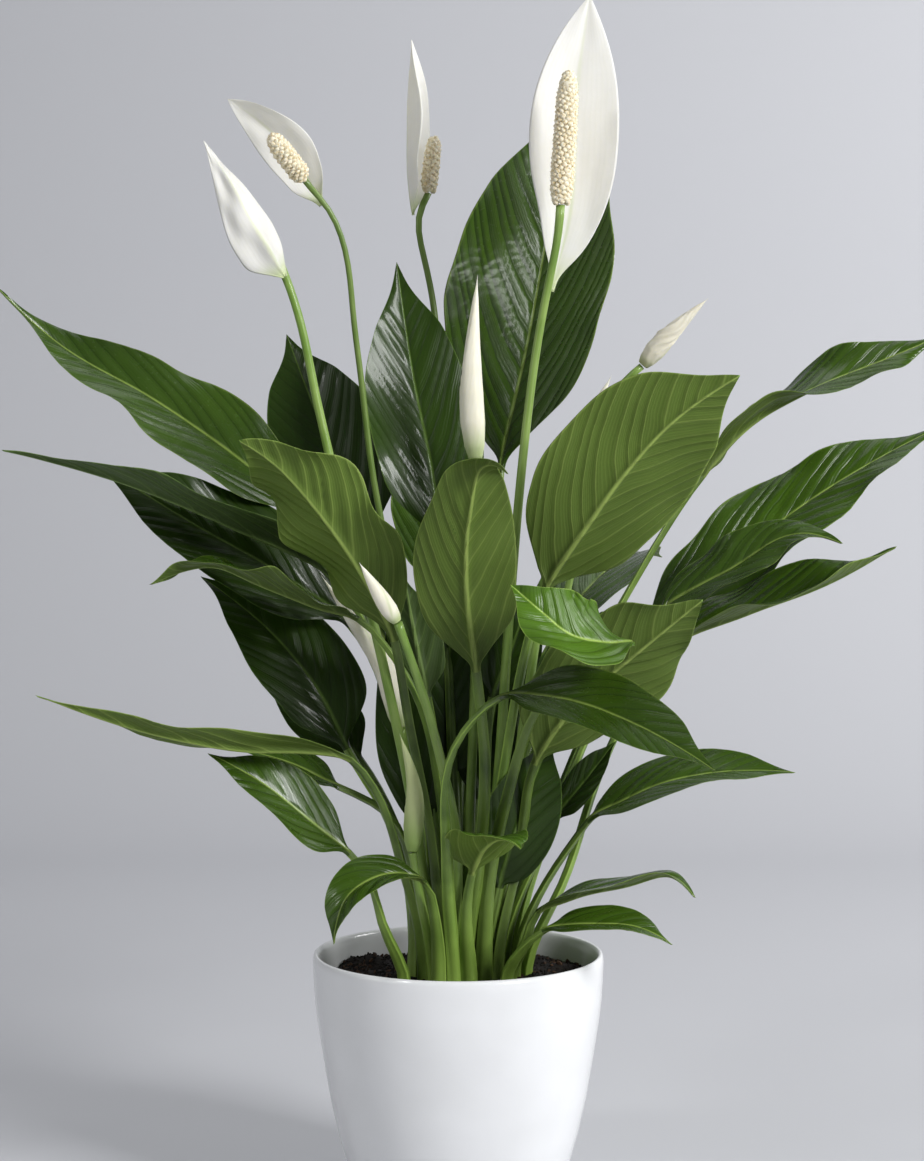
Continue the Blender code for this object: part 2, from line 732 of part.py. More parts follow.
def main():
    """Build the pot, the soil, then every leaf, bloom and bud from its foot up."""
    for obj in list(bpy.data.objects):
        bpy.data.objects.remove(obj)
    collection = bpy.data.collections.new(COLLECTION)
    cutters = bpy.data.collections.new(CUTTERS)
    bpy.context.scene.collection.children.link(collection)
    bpy.context.scene.collection.children.link(cutters)
    materials = {name: make_material(name) for name in COLOURS}

    stems = [leaf.petiole[0] for leaf in LEAVES]
    stems += [plant.stem[0] for plant in (*BLOOMS, *BUDS)]
    feet = spread_feet(stems)
    radii = [FOOT_RADIUS] * len(LEAVES) + [STEM_FOOT_RADIUS] * (len(BLOOMS) + len(BUDS))

    make_pot(materials["pot"], collection)
    make_soil(feet, radii, materials["soil"], collection, cutters)
    for leaf, foot in zip(LEAVES, feet):
        make_object(leaf.name, *leaf_solid(leaf, foot), materials["leaf"], collection)
    bloom_feet = feet[len(LEAVES):]
    for bloom, foot in zip(BLOOMS, bloom_feet):
        stem_points = [Vector(p) for p in bloom.stem]
        make_tube(bloom.name + "_stem", stem_stations(stem_points, foot), STEM_RESOLUTION,
                  materials["stem"], collection)
        make_object(bloom.name + "_spathe", *spathe_solid(bloom), materials["spathe"], collection)
        tip = Vector(bloom.spadix_tip)
        start = stem_points[-1] + (tip - stem_points[-1]).normalized() * TOP_GAP
        spadix = along(Curve([start, tip]), SPADIX_PROFILE, bloom.spadix_radius)
        make_tube(bloom.name + "_spadix", spadix, ROUND_RESOLUTION, materials["spadix"], collection)
    for bud, foot in zip(BUDS, bloom_feet[len(BLOOMS):]):
        points = [Vector(p) for p in bud.bud]
        lead = (points[1] - points[0]).normalized()
        stem_points = [*[Vector(p) for p in bud.stem], points[0] - lead * TOP_GAP]
        make_tube(bud.name + "_stem", stem_stations(stem_points, foot), STEM_RESOLUTION,
                  materials["stem"], collection)
        body = along(Curve(points), BUD_PROFILE, bud.radius)
        make_tube(bud.name, body, ROUND_RESOLUTION, materials[bud.kind], collection)


main()
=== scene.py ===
"""A potted peace lily in a glazed pot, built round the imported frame."""

from __future__ import annotations

import logging
import math
import random
import zlib
from dataclasses import dataclass, field
from enum import Enum

import bmesh
import bpy
import numpy as np
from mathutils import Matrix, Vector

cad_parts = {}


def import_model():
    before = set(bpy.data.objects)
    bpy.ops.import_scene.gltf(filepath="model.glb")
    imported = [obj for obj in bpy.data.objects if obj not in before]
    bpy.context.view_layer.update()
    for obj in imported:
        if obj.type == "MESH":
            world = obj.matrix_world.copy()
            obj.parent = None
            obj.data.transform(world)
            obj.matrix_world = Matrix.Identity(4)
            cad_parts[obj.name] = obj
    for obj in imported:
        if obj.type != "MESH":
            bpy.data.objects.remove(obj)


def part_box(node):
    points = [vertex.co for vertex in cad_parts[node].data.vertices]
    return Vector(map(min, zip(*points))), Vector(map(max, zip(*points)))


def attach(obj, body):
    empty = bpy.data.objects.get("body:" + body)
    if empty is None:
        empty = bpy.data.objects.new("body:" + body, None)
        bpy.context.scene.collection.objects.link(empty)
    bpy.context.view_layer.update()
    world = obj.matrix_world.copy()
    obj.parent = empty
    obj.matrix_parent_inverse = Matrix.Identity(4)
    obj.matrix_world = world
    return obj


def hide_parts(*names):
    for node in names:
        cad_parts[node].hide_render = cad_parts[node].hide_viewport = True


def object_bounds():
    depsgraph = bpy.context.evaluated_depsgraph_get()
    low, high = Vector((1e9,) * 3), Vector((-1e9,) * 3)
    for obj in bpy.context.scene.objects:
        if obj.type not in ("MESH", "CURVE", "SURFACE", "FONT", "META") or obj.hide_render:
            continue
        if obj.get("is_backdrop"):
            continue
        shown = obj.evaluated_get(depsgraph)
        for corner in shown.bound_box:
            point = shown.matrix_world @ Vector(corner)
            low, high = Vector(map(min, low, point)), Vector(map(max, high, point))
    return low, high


LOG = logging.getLogger("peace_lily")
MM = 0.001
BODY = "root"
GOLDEN_TURN = math.radians(137.50776)
# a leaf ring of the frame: the two edges, then where the upper and lower middles are
RING_SIZE = 10
EDGE_A, EDGE_B, TOP_MIDDLE, KEEL = 0, 4, 2, 7
TOP_SHARES = (-1.0, -0.55, 0.0, 0.55, 1.0)
PETIOLE_RINGS = 6
# the order of a leaf's finishes
UPPER_SIDE, UNDERSIDE, STALK = range(3)
# how many of the last rings show which places are the edges
TIP_RINGS = 8
WELD_DISTANCE = 1e-6
THINNEST = 0.02 * MM


# ---------------------------------------------------------------- small tools


def linear(hex_colour: str) -> tuple[float, float, float, float]:
    """Turns an sRGB hex colour to the linear colour that a shader takes.

    Args:
        hex_colour: six hex digits, with or without a leading hash.

    Returns:
        Red, green, blue and a full alpha, linear.
    """
    digits = hex_colour.lstrip("#")
    channels = [int(digits[i : i + 2], 16) / 255 for i in (0, 2, 4)]
    spread = [c / 12.92 if c <= 0.04045 else ((c + 0.055) / 1.055) ** 2.4 for c in channels]
    return (spread[0], spread[1], spread[2], 1.0)


def add(
    tree: bpy.types.NodeTree, kind: str, inputs: dict | None = None, **settings: object
) -> bpy.types.Node:
    """Adds a node to a tree, with its settings, its values and its links.

    Args:
        tree: the shader or geometry tree.
        kind: the node's type name.
        inputs: by input name or number, a value or an output socket to link.
        settings: the node's own properties.

    Returns:
        The new node.
    """
    node = tree.nodes.new(kind)
    for name, value in settings.items():
        setattr(node, name, value)
    for key, value in (inputs or {}).items():
        if isinstance(value, bpy.types.NodeSocket):
            tree.links.new(value, node.inputs[key])
        else:
            node.inputs[key].default_value = value
    return node


def seeded(name: str) -> random.Random:
    """A random source that is always the same for a piece's name."""
    return random.Random(zlib.crc32(name.encode()))


def smooth_step(low: float, high: float, at: np.ndarray) -> np.ndarray:
    """Rises smoothly from 0 at low to 1 at high."""
    share = np.clip((at - low) / (high - low), 0.0, 1.0)
    return share * share * (3 - 2 * share)


def spline(knots: np.ndarray, points: np.ndarray, at: np.ndarray) -> np.ndarray:
    """A natural cubic spline through points.

    Args:
        knots: the rising distance of each point.
        points: one row for each knot.
        at: the distances that are wanted.

    Returns:
        One row for each distance.
    """
    count = len(knots)
    gaps = np.diff(knots)
    matrix = np.eye(count)
    right = np.zeros_like(points)
    slopes = np.diff(points, axis=0) / gaps.reshape(-1, *([1] * (points.ndim - 1)))
    for i in range(1, count - 1):
        matrix[i, i - 1] = gaps[i - 1]
        matrix[i, i] = 2 * (gaps[i - 1] + gaps[i])
        matrix[i, i + 1] = gaps[i]
        right[i] = 6 * (slopes[i] - slopes[i - 1])
    bends = np.linalg.solve(matrix, right.reshape(count, -1)).reshape(points.shape)
    where = np.clip(np.searchsorted(knots, at, side="right") - 1, 0, count - 2)
    shape = (-1, *([1] * (points.ndim - 1)))
    gap = gaps[where].reshape(shape)
    before = (at - knots[where]).reshape(shape)
    after = gap - before
    return (
        bends[where] * after**3 / (6 * gap)
        + bends[where + 1] * before**3 / (6 * gap)
        + (points[where] / gap - bends[where] * gap / 6) * after
        + (points[where + 1] / gap - bends[where + 1] * gap / 6) * before
    )


def unit(vectors: np.ndarray) -> np.ndarray:
    """Vectors of length one, along the last axis."""
    return vectors / np.maximum(np.linalg.norm(vectors, axis=-1, keepdims=True), 1e-12)


def run_length(points: np.ndarray) -> np.ndarray:
    """The distance along a line of points, from 0 at the first."""
    steps = np.linalg.norm(np.diff(points, axis=0), axis=1)
    return np.concatenate([[0.0], np.cumsum(steps)])


def moving_frames(centres: np.ndarray, start_side: np.ndarray) -> tuple[np.ndarray, np.ndarray]:
    """Directions across a curve that turn no more than they must.

    Args:
        centres: the curve's points.
        start_side: a direction to start from, not along the curve.

    Returns:
        A side and a second side for each point, square to the curve and to each other.
    """
    along = unit(np.gradient(centres, axis=0))
    sides = np.zeros_like(centres)
    side = start_side
    for i, direction in enumerate(along):
        side = side - direction * np.dot(side, direction)
        side = side / max(np.linalg.norm(side), 1e-9)
        sides[i] = side
    return sides, np.cross(along, sides)


def turned_rings(
    centres: np.ndarray, radii: np.ndarray, turns: np.ndarray, start_side: np.ndarray
) -> np.ndarray:
    """Rings of points round a curve.

    Args:
        centres: the curve's points.
        radii: the distance from the curve, by ring and by place round it.
        turns: the angle of each place.
        start_side: where the first place lies on the first ring.

    Returns:
        Points by ring and by place.
    """
    side, second = moving_frames(centres, start_side)
    spokes = side[:, None] * np.cos(turns)[None, :, None] + second[:, None] * np.sin(turns)[None, :, None]
    return centres[:, None] + radii[..., None] * spokes


def ring_quads(count: int, around: int) -> np.ndarray:
    """Faces between closed rings whose points follow each other in one list.

    Args:
        count: how many rings there are.
        around: how many points each ring has.

    Returns:
        Four point numbers for each face.
    """
    row = np.arange(count - 1)[:, None] * around
    place = np.arange(around)[None, :]
    following = (place + 1) % around
    corners = [row + place, row + following, row + around + following, row + around + place]
    return np.stack(corners, axis=-1).reshape(-1, 4)


def new_piece(name: str, mesh: bpy.types.Mesh) -> bpy.types.Object:
    """Puts a mesh in the scene.

    Args:
        name: the new piece's name.
        mesh: its mesh.

    Returns:
        The new object.
    """
    piece = bpy.data.objects.new(name, mesh)
    bpy.context.scene.collection.objects.link(piece)
    return piece


def build_skin(
    name: str,
    rings: np.ndarray,
    end_point: np.ndarray | None,
    materials: list[bpy.types.Material],
    choice: np.ndarray | None = None,
    point_data: dict[str, np.ndarray] | None = None,
) -> bpy.types.Object:
    """Makes one closed skin over a row of rings.

    Args:
        name: the new piece's name.
        rings: points by ring and by place round the ring.
        end_point: where the skin closes after the last ring, or None to close it flat.
        materials: the piece's materials in the order of their slots.
        choice: the material's number for each ring gap and place round the ring.
        point_data: vector attributes, by ring and by place, for the materials to read.

    Returns:
        The new object, whose faces point outwards.
    """
    count, around = rings.shape[:2]
    points = [rings.reshape(-1, 3), rings[0].mean(axis=0)[None]]
    start_pole = count * around
    end_pole = start_pole + 1
    points.append((rings[-1].mean(axis=0) if end_point is None else end_point)[None])
    quads = ring_quads(count, around)
    vertices = np.concatenate(points)
    first, second, third, fourth = vertices[quads].transpose(1, 0, 2)
    volume = np.einsum("ij,ij->", first, np.cross(second, third))
    volume += np.einsum("ij,ij->", first, np.cross(third, fourth))
    starts = [((i + 1) % around, i, start_pole) for i in range(around)]
    last = (count - 1) * around
    ends = [(last + i, last + (i + 1) % around, end_pole) for i in range(around)]
    faces = quads.tolist() + starts + ends
    if volume < 0:
        faces = [face[::-1] for face in faces]
    mesh = bpy.data.meshes.new(name)
    mesh.from_pydata(vertices.tolist(), [], faces)
    for key, values in (point_data or {}).items():
        attribute = mesh.attributes.new(key, "FLOAT_VECTOR", "POINT")
        flat = values.reshape(-1, 3)
        full = np.concatenate([flat, values[0].mean(axis=0)[None], values[-1].mean(axis=0)[None]])
        attribute.data.foreach_set("vector", full.astype(np.float32).ravel())
    mesh.polygons.foreach_set("use_smooth", [True] * len(faces))
    if choice is not None:
        numbers = [*choice.reshape(-1), *[choice[0, 0]] * around, *[choice[-1, 0]] * around]
        mesh.polygons.foreach_set("material_index", [int(n) for n in numbers])
    for material in materials:
        mesh.materials.append(material)
    mesh.update()
    return new_piece(name, mesh)


def open_tree(
    name: str, inputs: dict[str, str]
) -> tuple[bpy.types.NodeTree, bpy.types.NodeOutputs, dict[str, str]]:
    """Starts a geometry tree that has named inputs.

    Args:
        name: the tree's name.
        inputs: the socket type of each named input.

    Returns:
        The tree, the outputs of its input node, and the identifier of each named input.
    """
    tree = bpy.data.node_groups.new(name, "GeometryNodeTree")
    face = tree.interface
    face.new_socket("Geometry", in_out="INPUT", socket_type="NodeSocketGeometry")
    sockets = {
        label: face.new_socket(label, in_out="INPUT", socket_type=kind).identifier
        for label, kind in inputs.items()
    }
    face.new_socket("Geometry", in_out="OUTPUT", socket_type="NodeSocketGeometry")
    return tree, add(tree, "NodeGroupInput").outputs, sockets


def close_tree(
    tree: bpy.types.NodeTree, geometry: bpy.types.NodeSocket, material: bpy.types.Material
) -> None:
    """Ends a geometry tree: its instances are made real and get their finish.

    Args:
        tree: the geometry tree.
        geometry: what it has made.
        material: the finish.
    """
    real = add(tree, "GeometryNodeRealizeInstances", {0: geometry}).outputs[0]
    dressed = add(tree, "GeometryNodeSetMaterial", {"Geometry": real, "Material": material})
    add(tree, "NodeGroupOutput", {0: dressed.outputs[0]})


def grown(
    piece: bpy.types.Object, tree: bpy.types.NodeTree, values: dict[str, object], sockets: dict[str, str]
) -> None:
    """Runs a geometry tree on a piece and keeps the result as its plain mesh.

    Args:
        piece: the object whose mesh the tree starts from.
        tree: the geometry tree.
        values: a value for each named input.
        sockets: the identifier of each named input.
    """
    modifier = piece.modifiers.new(tree.name, "NODES")
    modifier.node_group = tree
    for name, value in values.items():
        modifier[sockets[name]] = value
    piece.update_tag()
    graph = bpy.context.evaluated_depsgraph_get()
    result = bpy.data.meshes.new_from_object(
        piece.evaluated_get(graph), preserve_all_data_layers=True, depsgraph=graph
    )
    piece.modifiers.remove(modifier)
    plain = piece.data
    piece.data = result
    result.name = piece.name
    bpy.data.meshes.remove(plain)


def settle(piece: bpy.types.Object, slot: str, *nodes: str) -> None:
    """Makes a piece ride on the body and stand for its nodes.

    Args:
        piece: the finished piece.
        slot: the name of its kind of finish; not used.
        nodes: the frame's nodes that it stands for, if any.
    """
    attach(piece, BODY)
    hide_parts(*nodes)
    LOG.info("%s: %d faces", piece.name, len(piece.data.polygons))


# ---------------------------------------------------------------- reading the frame


def welded(node: bpy.types.Object) -> bmesh.types.BMesh:
    """Copies a frame node's loose triangles and merges them at their corners.

    Args:
        node: the frame's object.

    Returns:
        The merged copy, whose vertices are numbered, to be freed after use.
    """
    shape = bmesh.new()
    shape.from_mesh(node.data)
    bmesh.ops.remove_doubles(shape, verts=shape.verts, dist=WELD_DISTANCE)
    shape.verts.index_update()
    return shape


def next_levels(seeds: list[bmesh.types.BMVert]) -> list[list[bmesh.types.BMVert]]:
    """Sorts vertices by how many edges they are away from the seeds.

    Args:
        seeds: the vertices of the first level.

    Returns:
        The levels, each in the order of its vertices' numbers.
    """
    seen = set(seeds)
    levels = [sorted(seeds, key=lambda v: v.index)]
    while True:
        found = {e.other_vert(v) for v in levels[-1] for e in v.link_edges} - seen
        if not found:
            return levels
        seen |= found
        levels.append(sorted(found, key=lambda v: v.index))


def ring_order(level: list[bmesh.types.BMVert]) -> list[bmesh.types.BMVert]:
    """Puts a level's vertices in the order that they have round the ring.

    Args:
        level: the vertices of one ring.

    Returns:
        The same vertices, each beside the next.
    """
    members = set(level)
    beside: dict[bmesh.types.BMVert, list[bmesh.types.BMVert]] = {v: [] for v in level}
    for vertex in level:
        for edge in vertex.link_edges:
            other = edge.other_vert(vertex)
            leaves_ring = any(w not in members for f in edge.link_faces for w in f.verts)
            if other in members and leaves_ring:
                beside[vertex].append(other)
    ring = [level[0]]
    while len(ring) < len(level):
        options = [v for v in beside[ring[-1]] if v not in ring]
        if not options:
            break
        ring.append(options[0])
    return ring


def matched(
    ring: list[bmesh.types.BMVert], reference: list[bmesh.types.BMVert]
) -> list[bmesh.types.BMVert]:
    """Turns a ring so that its vertices stand over those of its neighbour.

    Args:
        ring: the ring to turn, or to turn and reverse.
        reference: the neighbour, which is in order.

    Returns:
        The ring in the order that shares the most edges with its neighbour.
    """
    best, best_score = ring, (-1, 0.0)
    for candidate in (ring, ring[::-1]):
        for shift in range(len(ring)):
            turned = candidate[shift:] + candidate[:shift]
            pairs = list(zip(turned, reference))
            linked = sum(1 for a, b in pairs if any(e.other_vert(a) is b for e in a.link_edges))
            score = (linked, -sum((a.co - b.co).length for a, b in pairs))
            if score > best_score:
                best, best_score = turned, score
    return best


@dataclass
class Blade:
    """The rings that the frame has for one leaf or spathe.

    rings holds points by ring from the foot to the tip and by place round the ring, with the
    edges at 0 and 4 and the upper side between them. tip is the last point.
    """

    rings: np.ndarray
    tip: np.ndarray

    @classmethod
    def read(cls, node: bpy.types.Object, foot_height: float | None = None) -> Blade:
        """Reads a blade from its node.

        Args:
            node: the frame's object.
            foot_height: where a leaf starts in the soil. Without it, as on a spathe, the rings
                are counted from the tip.

        Returns:
            The blade with its rings in order.
        """
        shape = welded(node)
        if foot_height is None:
            low = min(v.co.z for v in shape.verts)
            foot = np.mean([v.co[:] for v in shape.verts if v.co.z < low + 3 * MM], axis=0)
            fans = [v for v in shape.verts if len(v.link_edges) >= RING_SIZE]
            seeds = [max(fans, key=lambda v: float(np.linalg.norm(np.array(v.co) - foot)))]
            levels = next_levels(seeds)[::-1]
        else:
            lowest = sorted(shape.verts, key=lambda v: (abs(v.co.z - foot_height), v.co.z))
            levels = next_levels(lowest[:RING_SIZE])
        tip = levels[-1][0]
        rings = [ring_order(level) for level in levels[:-1] if len(level) == RING_SIZE]
        ordered = [rings[-1]]
        for ring in rings[-2::-1]:
            ordered.append(matched(ring, ordered[-1]))
        ordered = ordered[::-1]
        points = np.array([[v.co[:] for v in ring] for ring in ordered])
        # the edges are the two places that lie furthest apart near the tip
        spans = [
            float(sum(np.linalg.norm(r[i] - r[(i + EDGE_B) % RING_SIZE]) for r in points[-TIP_RINGS:]))
            for i in range(RING_SIZE)
        ]
        points = np.roll(points, -int(np.argmax(spans)), axis=1)
        read = cls(points, np.array(tip.co))
        shape.free()
        return read

    @classmethod
    def drawn(
        cls, line: tuple[tuple[float, float, float], ...], half: float, face: tuple[float, float, float]
    ) -> Blade:
        """Draws the rings of a leaf that is hidden deep in the crown.

        Args:
            line: the foot, two points up the petiole, the heel and three points to the tip, in mm.
            half: half the blade's width, in mm.
            face: the direction that the upper side faces.

        Returns:
            The blade, ringed as the frame's blades are.
        """
        points = np.array(line) * MM
        knots = run_length(points)
        heel, last = knots[3], knots[-1]
        petiole = np.linspace(0, heel, PETIOLE_RINGS + 1)[:-1]
        shares = np.array([0.0, 0.07, 0.17, 0.29, 0.42, 0.55, 0.68, 0.81, 0.93])
        at = np.concatenate([petiole, heel + (last - heel) * shares])
        centres = spline(knots, points, at)
        direction = unit(np.gradient(centres, at, axis=0))
        side = unit(np.cross(direction, np.array(face)))
        up = np.cross(side, direction)
        wide = half * MM * np.sin(math.pi * np.clip(shares, 0.0, 1.0) ** 0.8) ** 0.8
        wide = np.concatenate([np.full(PETIOLE_RINGS, 2.2 * MM), np.maximum(wide, 1.8 * MM)])
        # five places over the top from edge to edge, then five beneath, by share of the half width
        upper = [(-1, 0.25), (-0.55, 0.1), (0, 0), (0.55, 0.1), (1, 0.25)]
        lower = [(0.55, 0), (0.2, -0.1), (0, -0.3), (-0.2, -0.1), (-0.55, 0)]
        folded = np.array(upper + lower)
        turns = [math.pi - i * math.tau / 8 for i in range(5)]
        turns += [-i * math.tau / 12 for i in range(1, 6)]
        wide = wide[:, None]
        flat = side[:, None] * (wide * folded[:, 0])[..., None]
        flat = flat + up[:, None] * (wide * folded[:, 1] * 0.8)[..., None]
        tube = side[:, None] * (wide * np.cos(turns))[..., None]
        tube = tube + up[:, None] * (wide * np.sin(turns))[..., None]
        is_petiole = np.arange(len(at)) <= PETIOLE_RINGS
        return cls(centres[:, None] + np.where(is_petiole[:, None, None], tube, flat), points[-1])

    def spine(self) -> np.ndarray:
        """The middle of each ring, halfway between the upper side and the keel, then the tip."""
        middles = (self.rings[:, TOP_MIDDLE] + self.rings[:, KEEL]) / 2
        return np.concatenate([middles, self.tip[None]])

    def lines_at(self, knots: np.ndarray, stations: np.ndarray) -> np.ndarray:
        """The ten lengthwise lines, which all meet at the tip.

        Args:
            knots: the distance of each ring and of the tip along the spine.
            stations: the distances that are wanted.

        Returns:
            Points by station and by line.
        """
        tips = np.repeat(self.tip[None, None], RING_SIZE, axis=1)
        return spline(knots, np.concatenate([self.rings, tips]), stations)


def across_weights(shares: np.ndarray) -> np.ndarray:
    """How much each of the five upper lines counts at each share across.

    Args:
        shares: from -1 at one edge to 1 at the other.

    Returns:
        Weights by share and by line, a curve of second degree on each half.
    """
    weights = np.zeros((len(shares), len(TOP_SHARES)))
    for row, share in enumerate(shares):
        three = (2, 1, 0) if share < 0 else (2, 3, 4)
        for own in three:
            value = 1.0
            for other in three:
                if other != own:
                    value *= (share - TOP_SHARES[other]) / (TOP_SHARES[own] - TOP_SHARES[other])
            weights[row, own] = value
    return weights


def upper_side(lines: np.ndarray, shares: np.ndarray) -> np.ndarray:
    """The upper side's points at each station and share across."""
    return np.einsum("vj,sjd->svd", across_weights(shares), lines[:, EDGE_A : EDGE_B + 1])


def sheet_normals(sheet: np.ndarray, upward: np.ndarray) -> np.ndarray:
    """Directions square to a sheet of points, on the side that upward points to."""
    normals = np.cross(np.gradient(sheet, axis=0), np.gradient(sheet, axis=1))
    return unit(normals) * np.sign(np.einsum("svd,sd->s", normals, upward))[:, None, None]


def wrapped(first: np.ndarray, second: np.ndarray, third: np.ndarray) -> np.ndarray:
    """Three values for each point of the upper side, repeated for the places beneath."""
    upper = np.stack(np.broadcast_arrays(first, second, third), axis=-1)
    return np.concatenate([upper, upper[:, -2:0:-1]], axis=1)


@dataclass
class Line:
    """The centre line that the frame has for a stem, a spadix or a bud, with its radii."""

    centres: np.ndarray
    radii: np.ndarray

    @classmethod
    def read(cls, node: bpy.types.Object, sides: int) -> Line:
        """Reads a round piece from its node.

        Args:
            node: the frame's object.
            sides: how many vertices each of its rings has.

        Returns:
            The line, from its lower end.
        """
        shape = welded(node)
        points = np.array([v.co[:] for v in shape.verts])
        middle = points.mean(axis=0)
        axis = np.linalg.svd(points - middle)[2][0]
        axis = axis * (1 if axis[2] > 0 else -1)
        order = sorted(shape.verts, key=lambda v: float(np.dot(np.array(v.co) - middle, axis)))
        rings = [np.array([v.co[:] for v in level]) for level in next_levels(order[:sides])]
        centres = np.array([r.mean(axis=0) for r in rings])
        radii = np.array([np.linalg.norm(r - r.mean(axis=0), axis=1).mean() for r in rings])
        shape.free()
        return cls(centres, radii)

    def sampled(self, count: int) -> Line:
        """The same line with evenly spaced smooth points.

        Args:
            count: how many points it gets.

        Returns:
            The finer line.
        """
        distance = run_length(self.centres)
        at = np.linspace(0, distance[-1], count)
        return Line(spline(distance, self.centres, at), np.interp(at, distance, self.radii))


# ---------------------------------------------------------------- finishes


class Finish:
    """A finish made with one shader, whose inputs each kind of finish draws for itself."""

    name: str

    def make(self) -> bpy.types.Material:
        """Makes the material.

        Returns:
            The new material.
        """
        material = bpy.data.materials.new(self.name)
        material.use_nodes = True
        tree = material.node_tree
        tree.nodes.clear()
        shader = add(tree, "ShaderNodeBsdfPrincipled", self.drawn(tree)).outputs[0]
        add(tree, "ShaderNodeOutputMaterial", {"Surface": self.shown(tree, shader)})
        return material

    def drawn(self, tree: bpy.types.NodeTree) -> dict[str, object]:
        """Draws the finish.

        Args:
            tree: the material's tree.

        Returns:
            A value or a socket for each of the shader's inputs that it sets.
        """
        raise NotImplementedError

    def shown(self, tree: bpy.types.NodeTree, shader: bpy.types.NodeSocket) -> bpy.types.NodeSocket:
        """What the surface shows: the shader itself, unless a finish says otherwise."""
        return shader


def parts_of(tree: bpy.types.NodeTree, attribute: str) -> bpy.types.NodeOutputs:
    """Reads one of a piece's vector attributes.

    Args:
        tree: the material's tree.
        attribute: its name.

    Returns:
        The three parts of the vector, named X, Y and Z.
    """
    vector = add(tree, "ShaderNodeAttribute", attribute_name=attribute).outputs["Vector"]
    return add(tree, "ShaderNodeSeparateXYZ", {0: vector}).outputs


def comb(
    tree: bpy.types.NodeTree, phase: bpy.types.NodeSocket, times: float, sharpness: float
) -> bpy.types.NodeSocket:
    """A row of narrow ridges, one for each whole number of the phase.

    Args:
        tree: the material's tree.
        phase: rises by one from vein to vein.
        times: how many ridges there are for each whole number.
        sharpness: how narrow each ridge is.

    Returns:
        A socket that is 1 on a ridge and 0 between.
    """
    turns = add(
        tree, "ShaderNodeMath", {0: phase, 1: math.tau * times}, operation="MULTIPLY"
    ).outputs[0]
    wave = add(tree, "ShaderNodeMath", {0: turns}, operation="COSINE").outputs[0]
    raised = add(tree, "ShaderNodeMath", {0: wave, 1: 0.5, 2: 0.5}, operation="MULTIPLY_ADD").outputs[0]
    return add(tree, "ShaderNodeMath", {0: raised, 1: sharpness}, operation="POWER").outputs[0]


@dataclass(frozen=True)
class GlazedStoneware(Finish):
    """White glazed stoneware, cast and dipped: a smooth glassy skin with faint waves and
    very slight pooling, which gives a soft-edged highlight down the wall."""

    name: str = "glazed_stoneware_dipped_white"
    glaze: str = "#eff0f2"
    thin_glaze: str = "#e4e5e6"
    wave_mm: float = 34.0
    peel_mm: float = 5.0
    wave_share: float = 2.5
    relief_mm: float = 0.12
    smoothest: float = 0.10
    roughest: float = 0.19

    def drawn(self, tree: bpy.types.NodeTree) -> dict[str, object]:
        """Draws the glaze.

        Args:
            tree: the material's tree.

        Returns:
            A value or a socket for each of the shader's inputs that it sets.
        """
        place = add(tree, "ShaderNodeTexCoord").outputs["Object"]
        wave = add(
            tree, "ShaderNodeTexNoise", {"Vector": place, "Scale": 1 / (self.wave_mm * MM), "Detail": 2.0}
        ).outputs["Fac"]
        peel = add(
            tree, "ShaderNodeTexNoise", {"Vector": place, "Scale": 1 / (self.peel_mm * MM), "Detail": 1.0}
        ).outputs["Fac"]
        colour = add(
            tree,
            "ShaderNodeMix",
            {0: wave, 6: linear(self.thin_glaze), 7: linear(self.glaze)},
            data_type="RGBA",
        ).outputs[2]
        gloss = add(
            tree, "ShaderNodeMapRange", {"Value": wave, "To Min": self.smoothest, "To Max": self.roughest}
        ).outputs["Result"]
        height = add(
            tree, "ShaderNodeMath", {0: wave, 1: self.wave_share, 2: peel}, operation="MULTIPLY_ADD"
        ).outputs[0]
        bump = add(
            tree, "ShaderNodeBump", {"Height": height, "Strength": 0.35, "Distance": self.relief_mm * MM}
        ).outputs["Normal"]
        return {"Base Color": colour, "Roughness": gloss, "Normal": bump, "IOR": 1.52}


@dataclass(frozen=True)
class PeatCompost(Finish):
    """Peat-based potting compost, sieved and damp: nearly black brown crumbs of mixed tone
    that hardly shine."""

    name: str
    dark: str
    light: str
    crumb_mm: float = 2.2
    grit_mm: float = 0.9
    relief_mm: float = 0.6

    def drawn(self, tree: bpy.types.NodeTree) -> dict[str, object]:
        """Draws the crumbs.

        Args:
            tree: the material's tree.

        Returns:
            A value or a socket for each of the shader's inputs that it sets.
        """
        place = add(tree, "ShaderNodeTexCoord").outputs["Object"]
        crumbs = add(tree, "ShaderNodeTexVoronoi", {"Vector": place, "Scale": 1 / (self.crumb_mm * MM)})
        fine = add(
            tree, "ShaderNodeTexNoise", {"Vector": place, "Scale": 1 / (self.grit_mm * MM), "Detail": 4.0}
        ).outputs["Fac"]
        tone = add(
            tree, "ShaderNodeMath", {0: crumbs.outputs["Color"], 1: fine}, operation="MULTIPLY"
        ).outputs[0]
        colour = add(
            tree, "ShaderNodeMix", {0: tone, 6: linear(self.dark), 7: linear(self.light)}, data_type="RGBA"
        ).outputs[2]
        bump = add(
            tree, "ShaderNodeBump", {"Height": fine, "Strength": 0.8, "Distance": self.relief_mm * MM}
        ).outputs["Normal"]
        return {"Base Color": colour, "Roughness": 0.92, "Normal": bump, "IOR": 1.4}


